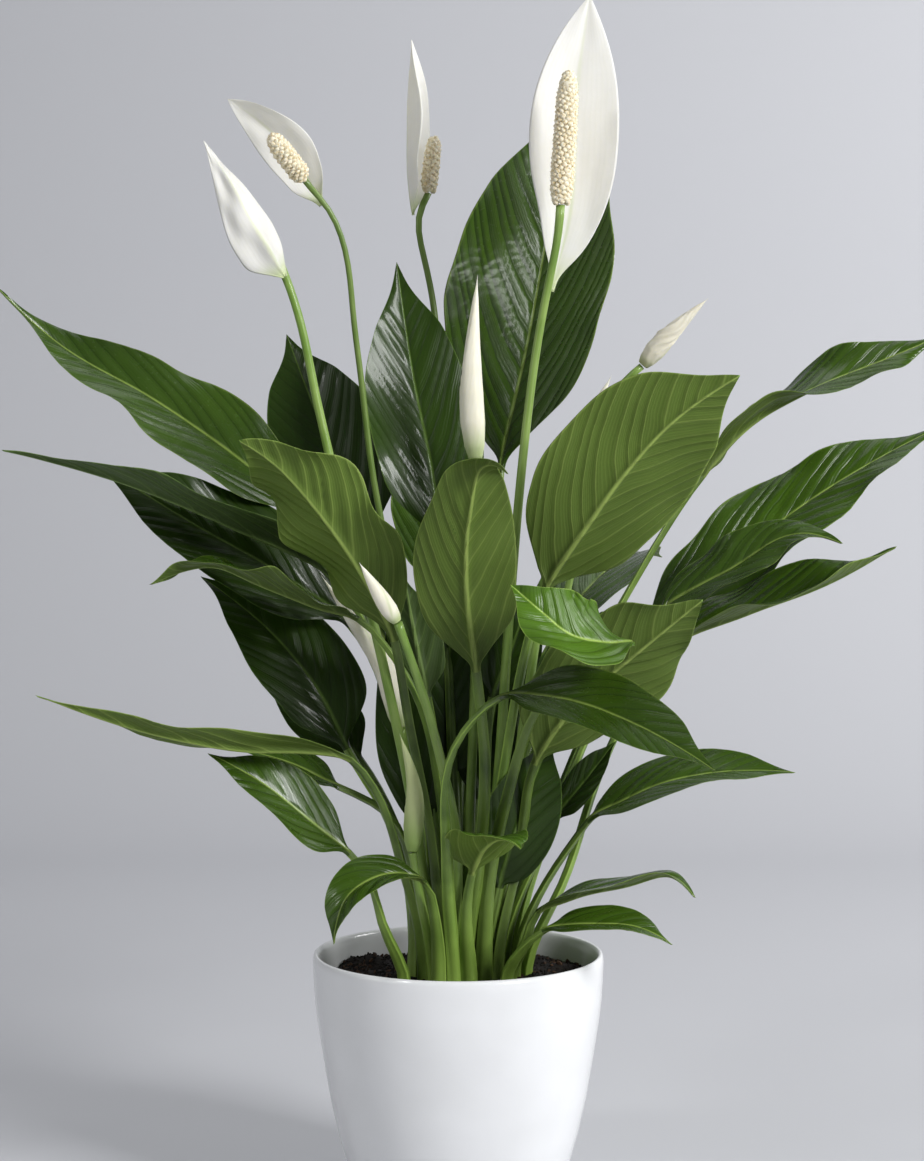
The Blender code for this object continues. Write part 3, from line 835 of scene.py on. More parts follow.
@dataclass(frozen=True)
class LeafSkin(Finish):
    """One side of a living leaf. The upper side has a waxy cuticle: it shines softly, and the
    side veins lie in fine troughs. The underside is matte and paler, with raised veins."""

    name: str
    lamina: str
    deep: str
    # on the upper sides the vein colour is darker than the lamina: partly the veins' own colour, partly
    # painted shade in their troughs
    vein: str
    midrib: str
    gloss: float
    vein_height_mm: float
    vein_show: float
    coat: float = 0.0
    coat_roughness: float = 0.13
    shine: float = 0.34
    glow: float = 0.05
    glow_depth_mm: float = 1.6
    blotch_mm: float = 26.0
    ripple_mm: float = 3.0
    fine_veins_between: float = 6.0
    rib_at_heel_mm: float = 1.9
    rib_at_tip_mm: float = 0.35
    margin_from: float = 0.965

    def drawn(self, tree: bpy.types.NodeTree) -> dict[str, object]:
        """Draws the leaf, from the distances and shares that its blade carries.

        Args:
            tree: the material's tree.

        Returns:
            A value or a socket for each of the shader's inputs that it sets.
        """
        grain = parts_of(tree, "blade_run")
        share = parts_of(tree, "blade_share")
        place = add(tree, "ShaderNodeTexCoord").outputs["Object"]
        across = add(tree, "ShaderNodeMath", {0: grain["Y"]}, operation="ABSOLUTE").outputs[0]
        wander = add(
            tree, "ShaderNodeTexNoise", {"Vector": place, "Scale": 1 / (self.blotch_mm * MM), "Detail": 2.0}
        ).outputs["Fac"]
        unsteady = add(
            tree, "ShaderNodeMath", {0: wander, 1: 0.5, 2: grain["Z"]}, operation="MULTIPLY_ADD"
        ).outputs[0]
        main_veins = comb(tree, unsteady, 1.0, 20.0)
        fine_veins = comb(tree, unsteady, self.fine_veins_between, 2.0)
        half_turns = add(
            tree, "ShaderNodeMath", {0: unsteady, 1: math.pi}, operation="MULTIPLY"
        ).outputs[0]
        swing = add(tree, "ShaderNodeMath", {0: half_turns}, operation="SINE").outputs[0]
        arched = add(tree, "ShaderNodeMath", {0: swing}, operation="ABSOLUTE").outputs[0]
        fine_wave = add(
            tree, "ShaderNodeTexNoise", {"Vector": place, "Scale": 1 / (self.ripple_mm * MM), "Detail": 3.0}
        ).outputs["Fac"]
        body = add(
            tree,
            "ShaderNodeMix",
            {0: wander, 6: linear(self.deep), 7: linear(self.lamina)},
            data_type="RGBA",
        ).outputs[2]
        veined = add(
            tree,
            "ShaderNodeMath",
            {0: main_veins, 1: self.vein_show},
            operation="MULTIPLY",
        ).outputs[0]
        fine_share = add(
            tree,
            "ShaderNodeMath",
            {0: fine_veins, 1: self.vein_show * 0.28, 2: veined},
            operation="MULTIPLY_ADD",
        ).outputs[0]
        # the vein lines sit at the bottoms of the troughs; on the upper side their darker colour is partly
        # painted shade, beneath they are paler
        with_veins = add(
            tree, "ShaderNodeMix", {0: fine_share, 6: body, 7: linear(self.vein)}, data_type="RGBA"
        ).outputs[2]
        # the pale midrib narrows from the heel to the tip
        reach = add(
            tree,
            "ShaderNodeMapRange",
            {"Value": share["Y"], "To Min": self.rib_at_heel_mm * MM, "To Max": self.rib_at_tip_mm * MM},
        ).outputs["Result"]
        rib = add(
            tree,
            "ShaderNodeMapRange",
            {"Value": across, 1: 0.0, 2: reach, "To Min": 1.0, "To Max": 0.0},
            interpolation_type="SMOOTHSTEP",
        ).outputs["Result"]
        # the very margin is thin and lets light through
        outward = add(tree, "ShaderNodeMath", {0: share["X"]}, operation="ABSOLUTE").outputs[0]
        margin = add(
            tree, "ShaderNodeMapRange", {"Value": outward, 1: self.margin_from, 2: 1.0, "To Max": 0.7}
        ).outputs["Result"]
        pale = add(tree, "ShaderNodeMath", {0: rib, 1: margin}, operation="MAXIMUM").outputs[0]
        with_rib = add(
            tree, "ShaderNodeMix", {0: pale, 6: with_veins, 7: linear(self.midrib)}, data_type="RGBA"
        ).outputs[2]
        # the Value sets each leaf's and petiole's own brightness, and the painted shade that darkens the
        # blade towards its heel
        tone = add(tree, "ShaderNodeHueSaturation", {"Value": share["Z"], "Color": with_rib}).outputs[0]
        height = add(
            tree,
            "ShaderNodeMath",
            {0: fine_veins, 1: -0.10, 2: arched},
            operation="MULTIPLY_ADD",
        ).outputs[0]
        rough_height = add(
            tree, "ShaderNodeMath", {0: fine_wave, 1: 0.16, 2: height}, operation="MULTIPLY_ADD"
        ).outputs[0]
        bump = add(
            tree,
            "ShaderNodeBump",
            {"Height": rough_height, "Strength": 0.9, "Distance": abs(self.vein_height_mm) * MM},
            invert=self.vein_height_mm > 0,
        ).outputs["Normal"]
        gloss = add(
            tree,
            "ShaderNodeMapRange",
            {"Value": fine_wave, "To Min": self.gloss - 0.05, "To Max": self.gloss + 0.08},
        ).outputs["Result"]
        return {
            "Base Color": tone,
            "Roughness": gloss,
            "Normal": bump,
            "IOR": 1.42,
            "Specular IOR Level": self.shine,
            "Coat Weight": self.coat,
            "Coat Roughness": self.coat_roughness,
            "Subsurface Weight": self.glow,
            "Subsurface Radius": (0.4, 1.0, 0.15),
            "Subsurface Scale": self.glow_depth_mm * MM,
        }


@dataclass(frozen=True)
class StalkSkin(Finish):
    """A smooth living stalk, grown and unpolished: fine lengthwise fibres, a soft waxy sheen,
    paler towards the soil."""

    name: str
    green: str
    pale: str
    sheath: str = "#8aa848"
    fibre_mm: float = 0.8
    fibre_stretch: float = 0.06
    patch_mm: float = 22.0
    pale_from_mm: float = 120.0
    pale_to_mm: float = 215.0

    def drawn(self, tree: bpy.types.NodeTree) -> dict[str, object]:
        """Draws the stalk, from the distance along it and the turn round it.

        Args:
            tree: the material's tree.

        Returns:
            A value or a socket for each of the shader's inputs that it sets.
        """
        run = add(tree, "ShaderNodeAttribute", attribute_name="blade_run").outputs["Vector"]
        place = add(tree, "ShaderNodeTexCoord").outputs["Object"]
        stretched = add(
            tree,
            "ShaderNodeMapping",
            {"Vector": run, "Scale": (self.fibre_stretch, 1.0, 1.0)},
            vector_type="POINT",
        ).outputs[0]
        fibres = add(
            tree,
            "ShaderNodeTexNoise",
            {"Vector": stretched, "Scale": 1 / (self.fibre_mm * MM), "Detail": 3.0},
        ).outputs["Fac"]
        patches = add(
            tree, "ShaderNodeTexNoise", {"Vector": place, "Scale": 1 / (self.patch_mm * MM), "Detail": 2.0}
        ).outputs["Fac"]
        mixed = add(
            tree, "ShaderNodeMath", {0: fibres, 1: 0.6, 2: patches}, operation="MULTIPLY_ADD"
        ).outputs[0]
        level = add(tree, "ShaderNodeMapRange", {"Value": mixed, 1: 0.58, 2: 1.0}).outputs["Result"]
        colour = add(
            tree, "ShaderNodeMix", {0: level, 6: linear(self.green), 7: linear(self.pale)}, data_type="RGBA"
        ).outputs[2]
        share = parts_of(tree, "blade_share")
        height = add(tree, "ShaderNodeSeparateXYZ", {0: place}).outputs["Z"]
        low = add(
            tree,
            "ShaderNodeMapRange",
            {
                "Value": height,
                1: self.pale_from_mm * MM,
                2: self.pale_to_mm * MM,
                "To Min": 0.38,
                "To Max": 0.0,
            },
        ).outputs["Result"]
        # the thin rims of the sheath are pale
        aside = add(tree, "ShaderNodeMath", {0: share["X"]}, operation="ABSOLUTE").outputs[0]
        rim = add(
            tree, "ShaderNodeMapRange", {"Value": aside, 1: 0.86, 2: 0.97, "To Max": 0.75}
        ).outputs["Result"]
        sheath = add(tree, "ShaderNodeMath", {0: low, 1: rim}, operation="MAXIMUM").outputs[0]
        colour = add(
            tree, "ShaderNodeMix", {0: sheath, 6: colour, 7: linear(self.sheath)}, data_type="RGBA"
        ).outputs[2]
        colour = add(tree, "ShaderNodeHueSaturation", {"Value": share["Z"], "Color": colour}).outputs[0]
        bump = add(
            tree, "ShaderNodeBump", {"Height": fibres, "Strength": 0.5, "Distance": 0.15 * MM}
        ).outputs["Normal"]
        return {"Base Color": colour, "Roughness": 0.36, "Normal": bump, "IOR": 1.45, "Coat Weight": 0.1}


@dataclass(frozen=True)
class PetalSkin(Finish):
    """A spathe's living tissue: matte, slightly see-through, with fine lengthwise veins, and
    green along its middle and at its base."""

    name: str
    white: str
    shade: str
    green: str
    green_reach: float
    crinkle_mm: float = 0.0
    cloud_mm: float = 14.0
    crimp_mm: float = 2.4
    veins_each_side: float = 8.0
    glow_depth_mm: float = 2.0

    def drawn(self, tree: bpy.types.NodeTree) -> dict[str, object]:
        """Draws the petal, from the shares along and across it.

        Args:
            tree: the material's tree.

        Returns:
            A value or a socket for each of the shader's inputs that it sets.
        """
        share = parts_of(tree, "blade_share")
        place = add(tree, "ShaderNodeTexCoord").outputs["Object"]
        across = add(tree, "ShaderNodeMath", {0: share["X"]}, operation="ABSOLUTE").outputs[0]
        cloud = add(
            tree, "ShaderNodeTexNoise", {"Vector": place, "Scale": 1 / (self.cloud_mm * MM), "Detail": 3.0}
        ).outputs["Fac"]
        # lengthwise veins, none of them straight
        wandering = add(
            tree, "ShaderNodeMath", {0: cloud, 1: 0.22, 2: share["X"]}, operation="MULTIPLY_ADD"
        ).outputs[0]
        veins = comb(tree, wandering, self.veins_each_side, 2.0)
        faint_veins = add(tree, "ShaderNodeMath", {0: veins, 1: 0.35}, operation="MULTIPLY").outputs[0]
        crimp = add(
            tree, "ShaderNodeTexNoise", {"Vector": place, "Scale": 1 / (self.crimp_mm * MM), "Detail": 4.0}
        ).outputs["Fac"]
        body = add(
            tree,
            "ShaderNodeMix",
            {0: cloud, 6: linear(self.shade), 7: linear(self.white)},
            data_type="RGBA",
        ).outputs[2]
        low = add(
            tree,
            "ShaderNodeMapRange",
            {"Value": share["Y"], 1: 0.0, 2: self.green_reach, "To Min": 1.0, "To Max": 0.0},
            interpolation_type="SMOOTHSTEP",
        ).outputs["Result"]
        middle = add(
            tree,
            "ShaderNodeMapRange",
            {"Value": across, 1: 0.0, 2: 0.12, "To Min": 0.5, "To Max": 0.0},
            interpolation_type="SMOOTHSTEP",
        ).outputs["Result"]
        fading = add(
            tree,
            "ShaderNodeMapRange",
            {"Value": share["Y"], 1: 0.2, 2: 1.0, "To Min": 1.0, "To Max": 0.3},
        ).outputs["Result"]
        ribbed = add(tree, "ShaderNodeMath", {0: middle, 1: fading}, operation="MULTIPLY").outputs[0]
        lined = add(
            tree, "ShaderNodeMath", {0: veins, 1: 0.035, 2: ribbed}, operation="MULTIPLY_ADD"
        ).outputs[0]
        greened = add(tree, "ShaderNodeMath", {0: low, 1: lined}, operation="MAXIMUM").outputs[0]
        colour = add(
            tree, "ShaderNodeMix", {0: greened, 6: body, 7: linear(self.green)}, data_type="RGBA"
        ).outputs[2]
        crimped = add(
            tree,
            "ShaderNodeMath",
            {0: crimp, 1: 0.7 + 4 * self.crinkle_mm, 2: faint_veins},
            operation="MULTIPLY_ADD",
        ).outputs[0]
        bump = add(
            tree, "ShaderNodeBump", {"Height": crimped, "Strength": 0.5, "Distance": 0.09 * MM}
        ).outputs["Normal"]
        return {
            "Base Color": colour,
            "Roughness": 0.5,
            "Normal": bump,
            "IOR": 1.4,
            "Subsurface Weight": 0.35,
            "Subsurface Radius": (1.0, 0.95, 0.7),
            "Subsurface Scale": self.glow_depth_mm * MM,
        }


@dataclass(frozen=True)
class FloretSkin(Finish):
    """The knobbly florets of a spadix, covered with dry pollen: matte cream with tan hollows."""

    name: str = "spadix_florets_pollen_cream"
    cream: str = "#f3ead2"
    tan: str = "#cdb888"
    pollen_mm: float = 1.3

    def drawn(self, tree: bpy.types.NodeTree) -> dict[str, object]:
        """Draws the pollen.

        Args:
            tree: the material's tree.

        Returns:
            A value or a socket for each of the shader's inputs that it sets.
        """
        place = add(tree, "ShaderNodeTexCoord").outputs["Object"]
        pollen = add(
            tree, "ShaderNodeTexNoise", {"Vector": place, "Scale": 1 / (self.pollen_mm * MM), "Detail": 4.0}
        ).outputs["Fac"]
        level = add(tree, "ShaderNodeMapRange", {"Value": pollen, 1: 0.32, 2: 0.56}).outputs["Result"]
        colour = add(
            tree, "ShaderNodeMix", {0: level, 6: linear(self.tan), 7: linear(self.cream)}, data_type="RGBA"
        ).outputs[2]
        bump = add(
            tree, "ShaderNodeBump", {"Height": pollen, "Strength": 0.7, "Distance": 0.3 * MM}
        ).outputs["Normal"]
        return {
            "Base Color": colour,
            "Roughness": 0.7,
            "Normal": bump,
            "IOR": 1.4,
            "Subsurface Weight": 0.2,
            "Subsurface Radius": (1.0, 0.8, 0.5),
            "Subsurface Scale": 1.0 * MM,
        }


# ---------------------------------------------------------------- leaves


class LeafTone(Enum):
    """How a leaf's green reads: grown in the open, darkened with painted shade deep in the crown, or newly
    opened.
    """

    OPEN = "open"
    SHADED = "shaded"
    YOUNG = "young"


# the upper and the lower side of each tone of leaf
LEAF_SKINS = {
    LeafTone.OPEN: (
        LeafSkin(
            "leaf_cuticle_waxy_open", "#425e17", "#2c430e", "#22370b", "#839a48",
            gloss=0.24, vein_height_mm=-0.75, vein_show=0.35, coat=0.2,
        ),
        LeafSkin(
            "leaf_underside_matte_open", "#5a6f2e", "#465a21", "#7e9449", "#90a556",
            gloss=0.5, vein_height_mm=0.6, vein_show=0.4, shine=0.25,
        ),
    ),
    # painted shade: the shaded pair is a darker copy of the open greens, for leaves deep in the crown
    LeafTone.SHADED: (
        LeafSkin(
            "leaf_cuticle_waxy_shaded", "#2c4112", "#1f300a", "#182806", "#526a2d",
            gloss=0.3, vein_height_mm=-0.5, vein_show=0.3, coat=0.22, shine=0.16,
        ),
        LeafSkin(
            "leaf_underside_matte_shaded", "#42562a", "#35471f", "#5a7038", "#70874a",
            gloss=0.5, vein_height_mm=0.6, vein_show=0.4, shine=0.25,
        ),
    ),
    LeafTone.YOUNG: (
        LeafSkin(
            "leaf_cuticle_waxy_young", "#4b6c1c", "#365013", "#2a400e", "#8ca650",
            gloss=0.29, vein_height_mm=-0.75, vein_show=0.35,
        ),
        LeafSkin(
            "leaf_underside_matte_young", "#5f762f", "#4b5f23", "#869a4c", "#96ab58",
            gloss=0.5, vein_height_mm=0.6, vein_show=0.4, shine=0.25,
        ),
    ),
}


@dataclass(frozen=True)
class LeafHabit:
    """How one leaf differs from the next: its green, how far its edge ruffles and over what
    length, its brightness and breadth as shares of the usual, and how deep its veins are."""

    name: str
    tone: LeafTone = LeafTone.OPEN
    ruffle_mm: float = 1.8
    wave_mm: float = 74.0
    brightness: float = 1.0
    breadth: float = 1.0
    relief: float = 1.0


HABITS = (
    LeafHabit("leaf_back_centre", ruffle_mm=0.9, wave_mm=70.0),
    LeafHabit("leaf_inner_left", LeafTone.SHADED, 1.2, brightness=1.3),
    LeafHabit("leaf_back_left", LeafTone.SHADED, 1.0),
    LeafHabit("leaf_upper_left", ruffle_mm=2.2, wave_mm=70.0),
    LeafHabit("leaf_mid_left_rear", LeafTone.SHADED, 1.4),
    LeafHabit("leaf_mid_left_level", LeafTone.SHADED, 1.8, brightness=1.2),
    LeafHabit("leaf_wavy_left", LeafTone.OPEN, 4.2, 50.0),
    LeafHabit("leaf_dark_left", LeafTone.SHADED, 1.2),
    LeafHabit("leaf_dark_left_rear", LeafTone.SHADED, 1.2),
    LeafHabit("leaf_long_left", LeafTone.YOUNG, 1.4),
    LeafHabit("leaf_short_left", ruffle_mm=1.2),
    LeafHabit("leaf_lower_left", ruffle_mm=1.6),
    LeafHabit("leaf_drooping_left", ruffle_mm=1.2),
    LeafHabit("leaf_small_front", LeafTone.YOUNG, 2.6, 36.0, 1.2, 1.45),
    LeafHabit("leaf_lower_right_edge", ruffle_mm=1.2),
    LeafHabit("leaf_rim_right", ruffle_mm=1.1),
    LeafHabit("leaf_lower_right", ruffle_mm=1.4),
    LeafHabit("leaf_inner_right_low", LeafTone.SHADED, 1.2),
    LeafHabit("leaf_front_right_low", LeafTone.YOUNG, 3.4, 52.0, 0.8, relief=1.7),
    LeafHabit("leaf_right", ruffle_mm=3.6, wave_mm=72.0),
    LeafHabit("leaf_right_big", ruffle_mm=2.4, relief=1.9),
    LeafHabit("leaf_right_curled", LeafTone.OPEN, 2.6, 56.0),
    LeafHabit("leaf_upper_right", ruffle_mm=3.4, wave_mm=66.0),
    LeafHabit("leaf_front_right", LeafTone.YOUNG, 1.6),
    LeafHabit("leaf_front_centre", LeafTone.YOUNG, 1.8, brightness=0.82, relief=1.8),
    LeafHabit("leaf_front_left", LeafTone.YOUNG, 4.4, 52.0, 0.96, relief=1.7),
    LeafHabit("leaf_young_folded", LeafTone.YOUNG, 4.4, 38.0, 1.3, 1.4),
    LeafHabit("leaf_arching_right", ruffle_mm=1.3, brightness=0.62, breadth=1.2, relief=0.6),
    LeafHabit("leaf_inner_centre", LeafTone.SHADED, 1.2),
    LeafHabit("leaf_inner_left_low", LeafTone.SHADED, 1.2),
    LeafHabit("leaf_rear_centre", ruffle_mm=1.4),
    LeafHabit("leaf_rear_right", ruffle_mm=1.6),
    LeafHabit("leaf_rear_left", ruffle_mm=1.6),
    LeafHabit("leaf_rear_low", ruffle_mm=1.4),
)


@dataclass(frozen=True)
class DeepLeaf:
    """A leaf deep in the crown that the frame leaves out, drawn from its line in mm: the foot,
    two points up the petiole, the heel and three points to the tip."""

    name: str
    line: tuple[tuple[float, float, float], ...]
    half: float
    face: tuple[float, float, float]

    def habit(self) -> LeafHabit:
        """All of them are shaded leaves with shallow veins."""
        return LeafHabit(self.name, LeafTone.SHADED, 1.2, relief=0.6)


DEEP_LEAVES = (
    DeepLeaf(
        "deep_leaf_front",
        (
            (10, -14, 112), (12, -16, 130), (16, -20, 150), (21, -24, 172),
            (29, -28, 200), (38, -29, 226), (48, -27, 250),
        ),
        20.0, (0.3, -1, 0.3),
    ),
    DeepLeaf(
        "deep_leaf_centre",
        (
            (-4, 4, 112), (-5, 6, 145), (-6, 8, 185), (-6, 10, 222),
            (-5, 13, 265), (-4, 15, 310), (0, 16, 352),
        ),
        23.0, (0, -1, 0.2),
    ),
    DeepLeaf(
        "deep_leaf_right",
        (
            (14, 4, 112), (19, 5, 150), (28, 6, 195), (37, 7, 235),
            (50, 10, 265), (62, 13, 290), (76, 14, 312),
        ),
        17.0, (0.2, -1, 0.4),
    ),
    DeepLeaf(
        "deep_leaf_left",
        (
            (-12, 2, 112), (-13, 3, 140), (-15, 4, 170), (-18, 5, 198),
            (-24, 6, 235), (-30, 8, 270), (-38, 9, 302),
        ),
        17.0, (-0.2, -1, 0.2),
    ),
    DeepLeaf(
        "deep_leaf_inner",
        (
            (5, 8, 112), (6, 10, 145), (8, 13, 180), (11, 16, 212),
            (17, 19, 245), (24, 21, 278), (33, 22, 308),
        ),
        20.0, (0, -1, 0.3),
    ),
)


@dataclass
class Foliage:
    """All the leaves: each one a closed skin from its foot in the soil to its drawn-out tip."""

    habits: tuple[LeafHabit, ...] = HABITS
    blade_thickness: float = 0.45 * MM
    keel_depth: float = 1.9 * MM
    petiole_step: float = 9.0 * MM
    blade_step: float = 1.7 * MM
    sheath_gain: float = 0.7 * MM
    wing_share: float = 0.32
    sheath_height: float = 70 * MM
    vein_gap: float = 8.6 * MM
    vein_slant: float = 0.27
    vein_sweep: float = 0.95
    quilt_depth: float = 1.0 * MM
    trough_depth: float = 0.5 * MM
    trough_width: float = 1.3 * MM
    tip_slimness: float = 0.42
    groove_depth: float = 0.42
    across_shares: tuple[float, ...] = (
        0.0, 0.022, 0.048, 0.08, 0.12, 0.165, 0.21, 0.26, 0.31, 0.36, 0.41, 0.46, 0.51, 0.56, 0.61,
        0.66, 0.71, 0.76, 0.81, 0.86, 0.91, 0.955, 0.987, 1.0,
    )
    skins: dict[LeafTone, list[bpy.types.Material]] = field(default_factory=dict)

    def dress(self) -> None:
        """Makes the upper, lower and stalk finishes of every tone."""
        stalk = StalkSkin("petiole_skin_waxy_green", "#40591c", "#75903f").make()
        self.skins = {tone: [skin.make() for skin in pair] + [stalk] for tone, pair in LEAF_SKINS.items()}

    def build(self) -> None:
        """Builds every leaf. All of them start at the same height in the soil."""
        foot_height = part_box(self.habits[0].name)[0][2]
        for habit in self.habits:
            self.leaf(habit, Blade.read(bpy.data.objects[habit.name], foot_height))
        for deep in DEEP_LEAVES:
            self.leaf(deep.habit(), Blade.drawn(deep.line, deep.half, deep.face))

    def leaf(self, habit: LeafHabit, blade: Blade) -> None:
        """Builds one leaf over its rings.

        Args:
            habit: the leaf's name, tone and ruffles.
            blade: its rings.
        """
        chance = seeded(habit.name)
        spine = blade.spine()
        knots = run_length(spine)
        heel = knots[PETIOLE_RINGS]
        length = knots[-1] - heel
        petiole_count = max(8, round(heel / self.petiole_step))
        blade_count = max(60, round(length / self.blade_step))
        # stations crowd a little towards the tip, where the blade narrows fast
        share = np.linspace(0, 1, blade_count + 1)[:-1]
        share = share + 0.06 * np.sin(math.pi * share)
        stations = np.concatenate([np.linspace(0, heel, petiole_count)[:-1], heel + length * share])

        lines = blade.lines_at(knots, stations)
        centres = spline(knots, spine, stations)
        upward = unit(lines[:, TOP_MIDDLE] - lines[:, KEEL])
        aside = unit(lines[:, EDGE_B] - lines[:, EDGE_A])
        shares = np.array([-s for s in self.across_shares[:0:-1]] + list(self.across_shares))
        middle = len(shares) // 2
        top = upper_side(lines, shares)

        # the tip is drawn out to a fine point
        drawn = 1 - self.tip_slimness * smooth_step(0.76, 0.95, (stations - heel) / length)
        drawn = drawn * (1 + (habit.breadth - 1) * smooth_step(0.0, 0.3, (stations - heel) / length))
        midrib = top[:, middle : middle + 1]
        # the outline swings in and out a little where the edge is ruffled
        swing = chance.uniform(0, math.tau) + (stations - heel) / (habit.wave_mm * 0.8 * MM) * math.tau
        sway = np.where(shares[None, :] < 0, np.sin(swing)[:, None], np.cos(swing * 1.1)[:, None])
        outline = 1 + 0.018 * habit.ruffle_mm * sway * np.abs(shares)[None, :] ** 3
        top = midrib + (top - midrib) * (drawn[:, None] * outline)[..., None]

        # how far along and across the blade each point lies
        steps = np.linalg.norm(np.diff(top, axis=1), axis=2)
        reach = np.concatenate([np.zeros((len(stations), 1)), np.cumsum(steps, axis=1)], axis=1)
        across = reach - reach[:, middle : middle + 1]
        run = np.maximum(stations - heel, 0.0)
        on_blade = smooth_step(0.0, 0.07, run / length)[:, None]
        along = (stations - heel)[:, None] + np.zeros_like(across)
        distance = np.abs(across)
        # side veins lean forward more on a long narrow blade, and bend forward to its edge
        widest = distance.max()
        slant = self.vein_slant * length / widest
        forward = slant * distance + self.vein_sweep * distance**2 / widest
        phase = (along - forward) / (self.vein_gap * math.hypot(1.0, slant))
        phase = phase + np.where(across > 0, chance.uniform(0.3, 0.6), 0.0)
        # no two side veins are the same distance apart
        phase = phase + 0.2 * np.sin(phase * 1.9 + chance.uniform(0, math.tau))

        normals = sheet_normals(top, upward)
        lift = self.relief(habit, chance, shares, run / length, along, distance, phase)
        top = top + normals * lift[..., None] * on_blade[..., None]

        thickness = self.thickness(shares, run / length, distance)
        bottom = top - normals * thickness[..., None]
        blade_ring = np.concatenate([top, bottom[:, -2:0:-1]], axis=1)

        # the round petiole, with a groove on its upper side and a sheath low down
        turns = np.concatenate(
            [np.linspace(math.pi, 0, len(shares)), np.linspace(0, -math.pi, len(shares))[1:-1]]
        )
        radii = np.linalg.norm(blade.rings - blade.rings.mean(axis=1, keepdims=True), axis=2).mean(axis=1)
        radius = np.interp(stations, knots[: PETIOLE_RINGS + 1], radii[: PETIOLE_RINGS + 1])
        radius = radius + self.sheath_gain * (1 - smooth_step(0, self.sheath_height, stations))
        groove = 1 - self.groove_depth * np.exp(-(((turns - math.pi / 2) / 0.5) ** 2))
        wings = 1 + self.wing_share * np.exp(-((np.sin(turns) / 0.3) ** 2))
        square_up = unit(upward - aside * np.einsum("sd,sd->s", upward, aside)[:, None])
        round_ring = centres[:, None] + radius[:, None, None] * (
            aside[:, None] * (np.cos(turns) * wings)[None, :, None]
            + square_up[:, None] * (np.sin(turns) * groove)[None, :, None]
        )
        rings = round_ring + (blade_ring - round_ring) * on_blade[..., None]

        around = rings.shape[1]
        upper_places = len(shares) - 1
        choice = np.full((len(stations) - 1, around), UNDERSIDE)
        choice[:, :upper_places] = UPPER_SIDE
        choice[: petiole_count - 1] = STALK
        tip_share = np.clip((stations - heel) / length, 0, 1)
        # painted shade: the blade is darkened towards its heel, deep in the crown, and each petiole has its
        # own green
        tone = habit.brightness * chance.uniform(0.93, 1.07)
        tone = tone * (0.7 + 0.33 * smooth_step(0.0, 0.5, tip_share))
        tone = np.where(stations < heel, chance.uniform(0.5, 1.3), tone)
        data = {
            "blade_run": wrapped(along, across, phase),
            "blade_share": wrapped(shares, tip_share[:, None], tone[:, None]),
        }
        piece = build_skin(
            habit.name + "_grown", rings, blade.tip, self.skins[habit.tone], choice, data
        )
        settle(piece, "leaf_green", *([habit.name] if habit.name in bpy.data.objects else []))

    def relief(
        self,
        habit: LeafHabit,
        chance: random.Random,
        shares: np.ndarray,
        run: np.ndarray,
        along: np.ndarray,
        distance: np.ndarray,
        phase: np.ndarray,
    ) -> np.ndarray:
        """How far the upper side stands off its smooth sheet: ruffled edges and sunk veins.

        Args:
            habit: the leaf's ruffles.
            chance: the leaf's own random source.
            shares: the places across, -1 to 1.
            run: the share of the blade's length at each station.
            along: the distance from the heel of each point.
            distance: the distance from the midrib of each point.
            phase: rises by one from side vein to side vein.

        Returns:
            The distance to move each point, in metres.
        """
        fade = np.sin(math.pi * np.clip(run, 0, 1))[:, None] ** 0.6
        edge = np.abs(shares)[None, :] ** 2.2
        wave = habit.wave_mm * MM
        shifts = [chance.uniform(0, math.tau) for _ in range(4)]
        left = np.sin(along / wave * math.tau + shifts[0]) + 0.22 * np.sin(
            along / wave * 2.3 * math.tau + shifts[1]
        )
        right = np.sin(along / wave * 1.07 * math.tau + shifts[2]) + 0.22 * np.sin(
            along / wave * 2.1 * math.tau + shifts[3]
        )
        ruffle = np.where(shares[None, :] < 0, left, right) * habit.ruffle_mm * MM * edge * fade
        heights = np.array([chance.uniform(0.5, 1.3) for _ in range(64)])
        arched = np.abs(np.sin(phase * math.pi)) ** 0.7 * heights[np.floor(phase).astype(int) % 64]
        near = 1 - 0.8 * np.abs(shares)[None, :] ** 1.5
        off_rib = smooth_step(0.6 * MM, 6 * MM, distance)
        quilt = self.quilt_depth * habit.relief * (arched - 0.55) * near * fade * off_rib
        trough = -self.trough_depth * np.exp(-((distance / self.trough_width) ** 2))
        trough = trough * (1 - run[:, None] * 0.7)
        return ruffle + quilt + trough

    def thickness(self, shares: np.ndarray, run: np.ndarray, distance: np.ndarray) -> np.ndarray:
        """The blade's thickness with its midrib standing out beneath.

        Args:
            shares: the places across, -1 to 1.
            run: the share of the blade's length at each station.
            distance: the distance from the midrib of each point.

        Returns:
            The thickness at each point, in metres.
        """
        thin = self.blade_thickness * np.clip((1 - np.abs(shares)) / 0.05, 0.0, 1.0)[None, :]
        taper = np.clip(1 - run, 0, 1)[:, None]
        width = (1.5 * MM * taper**0.5 + 0.5 * MM) ** 2
        keel = self.keel_depth * (0.18 + 0.82 * taper) * np.exp(-(distance**2) / width)
        return thin + keel * np.minimum(1.0, taper * 8) + THINNEST


# ---------------------------------------------------------------- flowers


class SpatheTone(Enum):
    """How far a closed bud has turned: fresh white, greenish, or faded."""

    FRESH = "fresh"
    GREENISH = "greenish"
    FADED = "faded"


BUD_SKINS = {
    SpatheTone.FRESH: PetalSkin("bud_tissue_rolled_white", "#f5f1e3", "#e6e2cc", "#b4c38a", 0.22),
    SpatheTone.FADED: PetalSkin("bud_tissue_faded_crinkled", "#ece8da", "#d8d1bb", "#a9ad80", 0.16, 0.6),
    SpatheTone.GREENISH: PetalSkin("bud_tissue_rolled_greenish", "#cfd6a4", "#b4c183", "#8fa95c", 0.5),
}
BLOOMS = ("bloom_tall", "bloom_tilted", "bloom_half_closed", "bloom_side_on")
